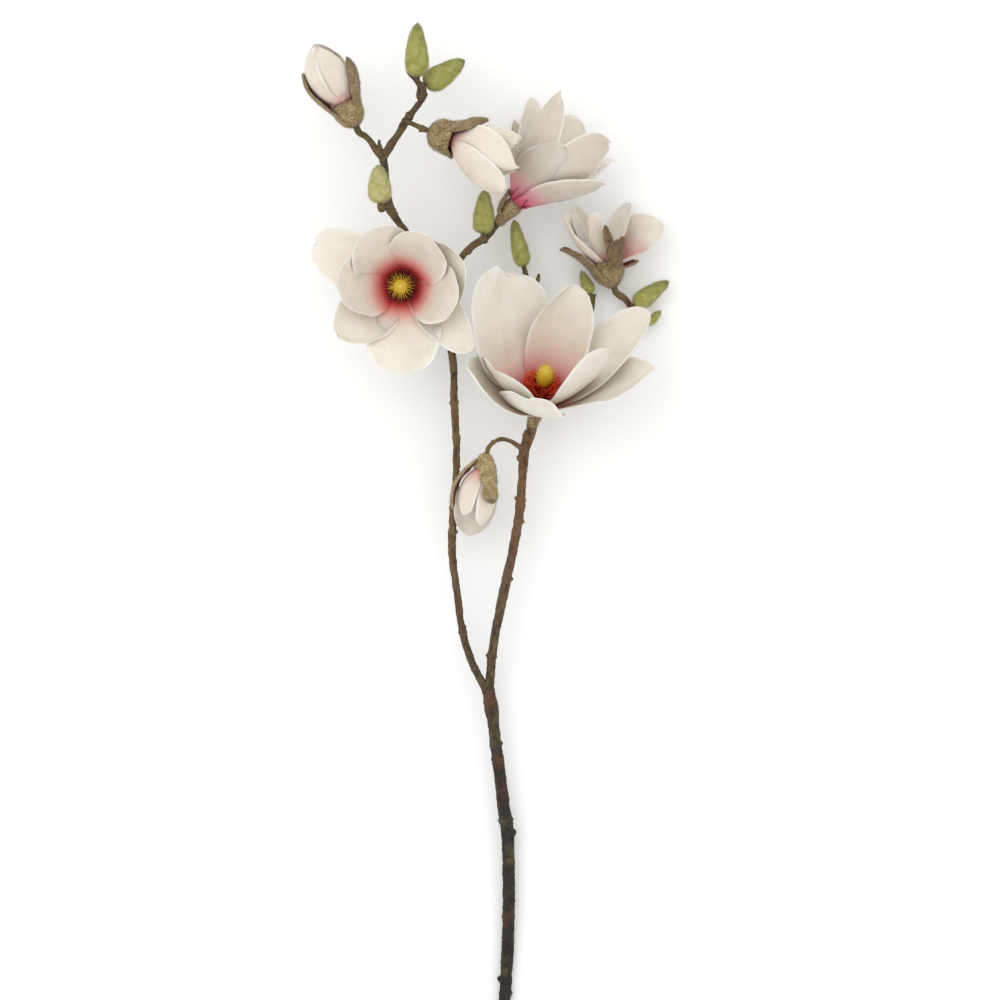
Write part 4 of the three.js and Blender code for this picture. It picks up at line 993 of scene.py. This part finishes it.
leafBuds = {
    "leaf_bud_top": {"seat": [-52.6, 352.2, 64], "heading": 90, "lift": 10, "roll": 30, "length": 40,
                     "width": 20, "depth": 14},
    "leaf_bud_top_right": {"seat": [-46.2, 346.6, 49], "heading": 31, "lift": 6, "roll": -20,
                           "length": 35, "width": 21, "depth": 12},
    "leaf_bud_fork": {"seat": [-82.5, 252.5, 51.5], "heading": 93, "lift": 19, "roll": 10, "length": 29,
                      "width": 19, "depth": 13, "pale": True},
    "leaf_bud_side": {"seat": [-0.4, 228.6, 43], "heading": 88, "lift": 10, "roll": 15, "length": 33,
                      "width": 17.5, "depth": 13},
    "leaf_bud_back": {"seat": [31.7, 203.5, 23], "heading": 102, "lift": 8, "roll": 20, "length": 36,
                      "width": 14, "depth": 10},
    "leaf_bud_low": {"seat": [85.5, 181.5, 12], "heading": 112, "lift": 4, "length": 18, "width": 10,
                     "depth": 8},
    "leaf_bud_right": {"seat": [122, 172, 13], "heading": 35, "lift": 6, "roll": 10, "length": 32,
                       "width": 15, "depth": 10},
    "leaf_bud_right_small": {"seat": [131.8, 157.2, 8], "heading": 42, "lift": 4, "length": 14,
                             "width": 8, "depth": 6},
}
# The almond's profile: [share of the half width, share of the length]
almond = [[0.02, 0], [0.45, 0.0], [0.88, 0.08], [1, 0.23], [0.87, 0.5], [0.63, 0.76], [0.34, 0.94],
          [0.02, 1]]
leafBudFur = {"perMm2": 9, "long": 1.8, "thick": 0.17, "lay": 0.9}


def leafBudParts(bud, seed):
    # a turned almond flattened to its depth; the lapped scale stands proud beside a slanting seam
    length, width, depth = bud["length"], bud["width"], bud["depth"]
    grid = turnedGrid(np.array(almond) * [width / 2, length], 56, 48, seed, 0.35)
    turn = np.arctan2(grid[..., 1], grid[..., 0])
    t = grid[..., 2] / length
    seam = np.sin(turn + 0.9 - 1.3 * t)
    proud = 1 + 0.07 * smooth(-0.06, 0.06, seam) * smooth(0.05, 0.3, t) * (1 - smooth(0.8, 1, t))
    tuck = np.where(grid[..., 1] < 0, 0.9, 1.0)
    bowed = 0.05 * width * np.sin(np.pi * t)
    x = grid[..., 0] * proud * 0.96 * tuck
    y = grid[..., 1] * proud * 0.96 * tuck * depth / width + bowed
    grid = np.stack([x, y, grid[..., 2]], -1)
    outward = closedNormals(grid)
    closed = np.concatenate([grid, grid[:, :1]], 1)
    outward = np.concatenate([outward, outward[:, :1]], 1)
    fur = leafBudFur
    number = int(length * width * fur["perMm2"])
    coat = furOn(closed, outward, number, fur["long"], fur["thick"], seed, lay=fur["lay"])
    return placed([ringsPart(grid), coat], bud)


print("leaf buds")
for index, (node, bud) in enumerate(leafBuds.items()):
    words = node.split("_")
    name = "leafBud" + "".join(word.capitalize() for word in words[2:])
    green = paleGreenFur if bud.get("pale") else greenFur
    makePiece(name, leafBudParts(bud, 80 + index), green, node)

# The bark stem, with its branches, twigs, knots and the stubs of shed twigs. Each station is
# [x, y, z, radius] in millimetres.

trunk = [
    [15.6, -400, 4.6, 4.5], [16.8, -386.4, 4.7, 4.6], [18.1, -366, 5.2, 4.8], [19.3, -337.6, 6.6, 4.9],
    [19.9, -305, 8.4, 4.9], [19.7, -276.6, 10.2, 4.9], [18.9, -256.3, 11.6, 5.3], [16.4, -237.6, 13, 5],
    [13.2, -211.6, 15.2, 4.8], [10, -185.7, 17.2, 4.7], [7.6, -166.2, 18.8, 4.7],
    [5.9, -153.3, 19.8, 5.7], [4.7, -145.2, 20.6, 5.2], [4.3, -137.1, 21.4, 4.4],
]
leftBranch = [
    [4.7, -146.8, 20.6, 3.8], [0.7, -136.3, 21.4, 3.5], [-6.1, -124, 22.4, 3.2], [-13.4, -106.3, 23.6, 3],
    [-18.6, -83.7, 24.8, 2.9], [-21.8, -59.5, 25.8, 2.9], [-25, -35.4, 26.6, 3.1],
    [-25.7, -13.7, 27, 3.3], [-24.1, 8, 27, 3.2], [-22.5, 34.5, 27.2, 2.9], [-22.3, 62.5, 27.6, 2.9],
    [-24.1, 94.7, 28.4, 3], [-24.5, 120.4, 29, 3.1], [-28.2, 144.5, 29.4, 3.1], [-33, 165.5, 29.2, 3.3],
    [-37.8, 181.6, 29, 3.6],
]
rightBranch = [
    [4.7, -146.8, 20.8, 4.2], [4.7, -133.8, 22, 3.7], [6, -114.4, 23.6, 3.4], [9.6, -90.2, 25.6, 3.7],
    [15.2, -62.8, 27.8, 3.8], [21.2, -35.4, 29.8, 3.7], [26.5, -8.1, 31.4, 3.6], [29.7, 16.8, 32.4, 3.5],
    [31.3, 40.1, 33, 3.6], [32.5, 54.9, 33, 4.3],
]
upperBranch = [
    [-37.8, 179.6, 29, 3.4], [-45.1, 196.8, 29.5, 3.1], [-53.9, 213.6, 31, 2.9], [-64.3, 231.1, 34, 2.9],
    [-71.4, 241.3, 37, 3.1], [-77.3, 252.4, 40, 4.2], [-78.1, 262.5, 43, 3.3], [-79.1, 276.6, 47, 3],
    [-80.7, 288.4, 50, 3.6],
]
topTwig = [
    [-80.7, 287.2, 50, 3], [-74, 297.5, 53, 3.1], [-68.2, 306, 55.5, 3], [-62.8, 314.5, 58, 3.4],
    [-56, 324, 60, 2.6], [-50, 331.8, 61.5, 2.6], [-46.6, 338.5, 61.5, 2.8],
]
toSideBloom = [
    [-37, 178, 29, 2.9], [-29, 193.7, 29, 2.7], [-18.5, 208.9, 30, 2.6], [-8.9, 218.4, 32, 2.8],
    [0, 223.9, 34, 3], [6.6, 230, 36, 2.6],
]
toCluster = [
    [33.2, 56, 30, 2.8], [36.5, 67, 22.5, 2.6], [41, 79, 18, 2.5], [62, 99, 14.5, 2.5],
    [85, 120, 10.5, 2.4], [107, 138.5, 5, 2.4], [118, 150, 2.5, 2.4], [122, 161, 3.6, 2.5],
    [118.5, 170.5, 7.5, 2.4], [112.5, 177.5, 11.5, 2.4],
]
toBackLeafBud = [[61, 98, 14.8, 2.4], [58.5, 124, 16, 2.2], [49.5, 154, 17, 2.1], [39.5, 181, 17, 2],
                 [34, 194.5, 18.5, 2]]
toLowLeafBud = [[85, 120, 10.5, 2.2], [83.5, 140, 10.5, 2], [85.5, 160, 10.5, 1.9],
                [87.5, 173, 10.5, 1.9]]
toFaceBloom = [[-41, 188, 29.2, 2.8], [-50, 196, 16, 2.7], [-58, 200, 5.5, 2.7], [-64, 198, 3, 2.7],
               [-66.5, 192.5, 10, 2.7]]
toTopLeftBud = [[-80.3, 286.6, 50, 3], [-87, 295.4, 52, 2.6], [-94.1, 304, 54.4, 2.4]]
toMiddleBud = [[-64.5, 316.6, 58, 2.5], [-58, 314, 61.5, 2.1], [-51.5, 310.6, 66, 2]]
toHangingBud = [[32.4, 54, 33, 2.8], [22.4, 60.9, 40, 1.7], [13.6, 63, 46, 1.8], [7.2, 60, 48.5, 1.6]]
toTopLeafBud = [[-47.5, 337, 61.5, 2.5], [-48.3, 342, 61, 2.2]]
toTopRightLeafBud = [[-50.5, 333.5, 61, 2.5], [-51.5, 339, 54, 2.3]]
stubs = [
    [[18.5, -256, 12, 4], [23, -253.5, 13.5, 3.4], [25.2, -252.2, 14.2, 1.8]],
    [[18, -375, 5.5, 3.6], [13, -372.6, 7, 2.6], [10.8, -371.6, 7.6, 1.2]],
    [[32.4, 50, 33, 3.4], [28, 47, 34.5, 2.4], [27, 46, 35, 1]],
    [[33.6, 62, 33.6, 3.2], [33.2, 68.5, 36, 1.4], [33.2, 70.5, 36.6, 0.8]],
    [[-81, 290, 50, 2.6], [-83.4, 297.5, 52.5, 1.6], [-83.6, 301.5, 53.5, 1.1]],
    [[-50, 344, 60, 2], [-56.5, 351.5, 53, 1.6], [-61, 356.5, 52, 1.3]],
    [[40, 180, 17, 1.9], [43, 190, 16, 1.5], [44.2, 196.8, 15.6, 1.1]],
    [[87, 170, 10.5, 1.8], [88.6, 178, 10, 1.4], [89.8, 180.8, 9.8, 1]],
]

print("bark stem")
# each limb's stations, the corners of a ring, and the millimetres from ring to ring
limbs = [
    (trunk, 40, 0.9), (leftBranch, 30, 0.9), (stalk(rightBranch, backBloom, 4.1), 32, 0.9),
    (upperBranch, 30, 0.8), (topTwig, 26, 0.8), (stalk(toSideBloom, sideBloom, 3.2), 26, 0.8),
    (stalk(toCluster, clusterBud, 2.6), 24, 0.9), (stalk(toFaceBloom, faceBloom, 3), 24, 0.9),
    (stalk(toTopLeftBud, topLeftBud, 2.6), 24, 0.8), (stalk(toMiddleBud, middleBud, 2.3), 24, 0.8),
    (stalk(toHangingBud, hangingBud, 2), 24, 0.8),
    (stalk(toTopLeafBud, leafBuds["leaf_bud_top"], 2.2), 22, 0.8),
    (stalk(toTopRightLeafBud, leafBuds["leaf_bud_top_right"], 2.2), 22, 0.8),
    (stalk([[-77.5, 250, 40, 3.4]], leafBuds["leaf_bud_fork"], 2.6), 22, 0.8),
    (stalk([[0.4, 222, 34, 2.6]], leafBuds["leaf_bud_side"], 2.3), 22, 0.8),
    (stalk(toBackLeafBud, leafBuds["leaf_bud_back"], 2), 20, 1.0),
    (stalk(toLowLeafBud, leafBuds["leaf_bud_low"], 1.8), 20, 1.0),
    (stalk([[122, 158, 3.2, 2.3]], leafBuds["leaf_bud_right"], 2), 20, 0.8),
    (stalk([[119, 149, 2.8, 2.2]], leafBuds["leaf_bud_right_small"], 1.6), 20, 0.8),
    *[(stub, 18, 0.6) for stub in stubs],
]
stemParts = [limbPart(stations, sides, spacing, 100 + 7 * i)
             for i, (stations, sides, spacing) in enumerate(limbs)]
makePiece("barkStem", stemParts, bark, "bark_stem")

# The floor, the lights and the camera
print("floor, lights and camera")


def floorMaterial():
    # matt white paper with a barely seen grain of about 3 mm
    material = newMaterial("matt white paper")
    place = addNode(material, "ShaderNodeTexCoord").outputs["Object"]
    grain = addNode(material, "ShaderNodeTexNoise",
                    {"Vector": place, "Scale": 300.0, "Detail": 3}).outputs["Fac"]
    colour = addNode(material, "ShaderNodeValToRGB", {"Fac": grain},
                     [(0.3, "#F6F6F5"), (0.7, "#F8F8F7")]).outputs[0]
    return finishMaterial(material, {"Base Color": colour, "Roughness": 0.9, "Specular IOR Level": 0.1})


floorMesh = bpy.data.meshes.new("floor")
floorMesh.from_pydata([(-6, -6, 0), (6, -6, 0), (6, 6, 0), (-6, 6, 0)], [], [(0, 1, 2, 3)])
floorMesh.materials.append(floorMaterial())
floor = bpy.data.objects.new("floor", floorMesh)
bpy.context.scene.collection.objects.link(floor)

lights = {"keyWatts": 13.5, "keySize": 2.2, "keyPlace": (-1.1, 1.0, 2.6), "skyStrength": 1.12}
keyData = bpy.data.lights.new("softKey", "AREA")
keyData.energy, keyData.size = lights["keyWatts"], lights["keySize"]
key = bpy.data.objects.new("softKey", keyData)
key.location = lights["keyPlace"]
key.rotation_euler = (-Vector(lights["keyPlace"])).to_track_quat("-Z", "Y").to_euler()
bpy.context.scene.collection.objects.link(key)
world = bpy.data.worlds.new("softSky")
bpy.context.scene.world = world
world.use_nodes = True
world.node_tree.nodes["Background"].inputs["Color"].default_value = (1, 1, 1, 1)
world.node_tree.nodes["Background"].inputs["Strength"].default_value = lights["skyStrength"]

view = {"lens": 150, "sensor": 36, "far": 100, "place": (0.0117, 0.0191, 3.3749)}
cameraData = bpy.data.cameras.new("camera")
cameraData.lens, cameraData.sensor_width, cameraData.clip_end = view["lens"], view["sensor"], view["far"]
camera = bpy.data.objects.new("camera", cameraData)
camera.location = view["place"]  # straight above, looking down with the branch's top upwards
bpy.context.scene.collection.objects.link(camera)
bpy.context.scene.camera = camera
bpy.context.scene.view_settings.view_transform = "Standard"
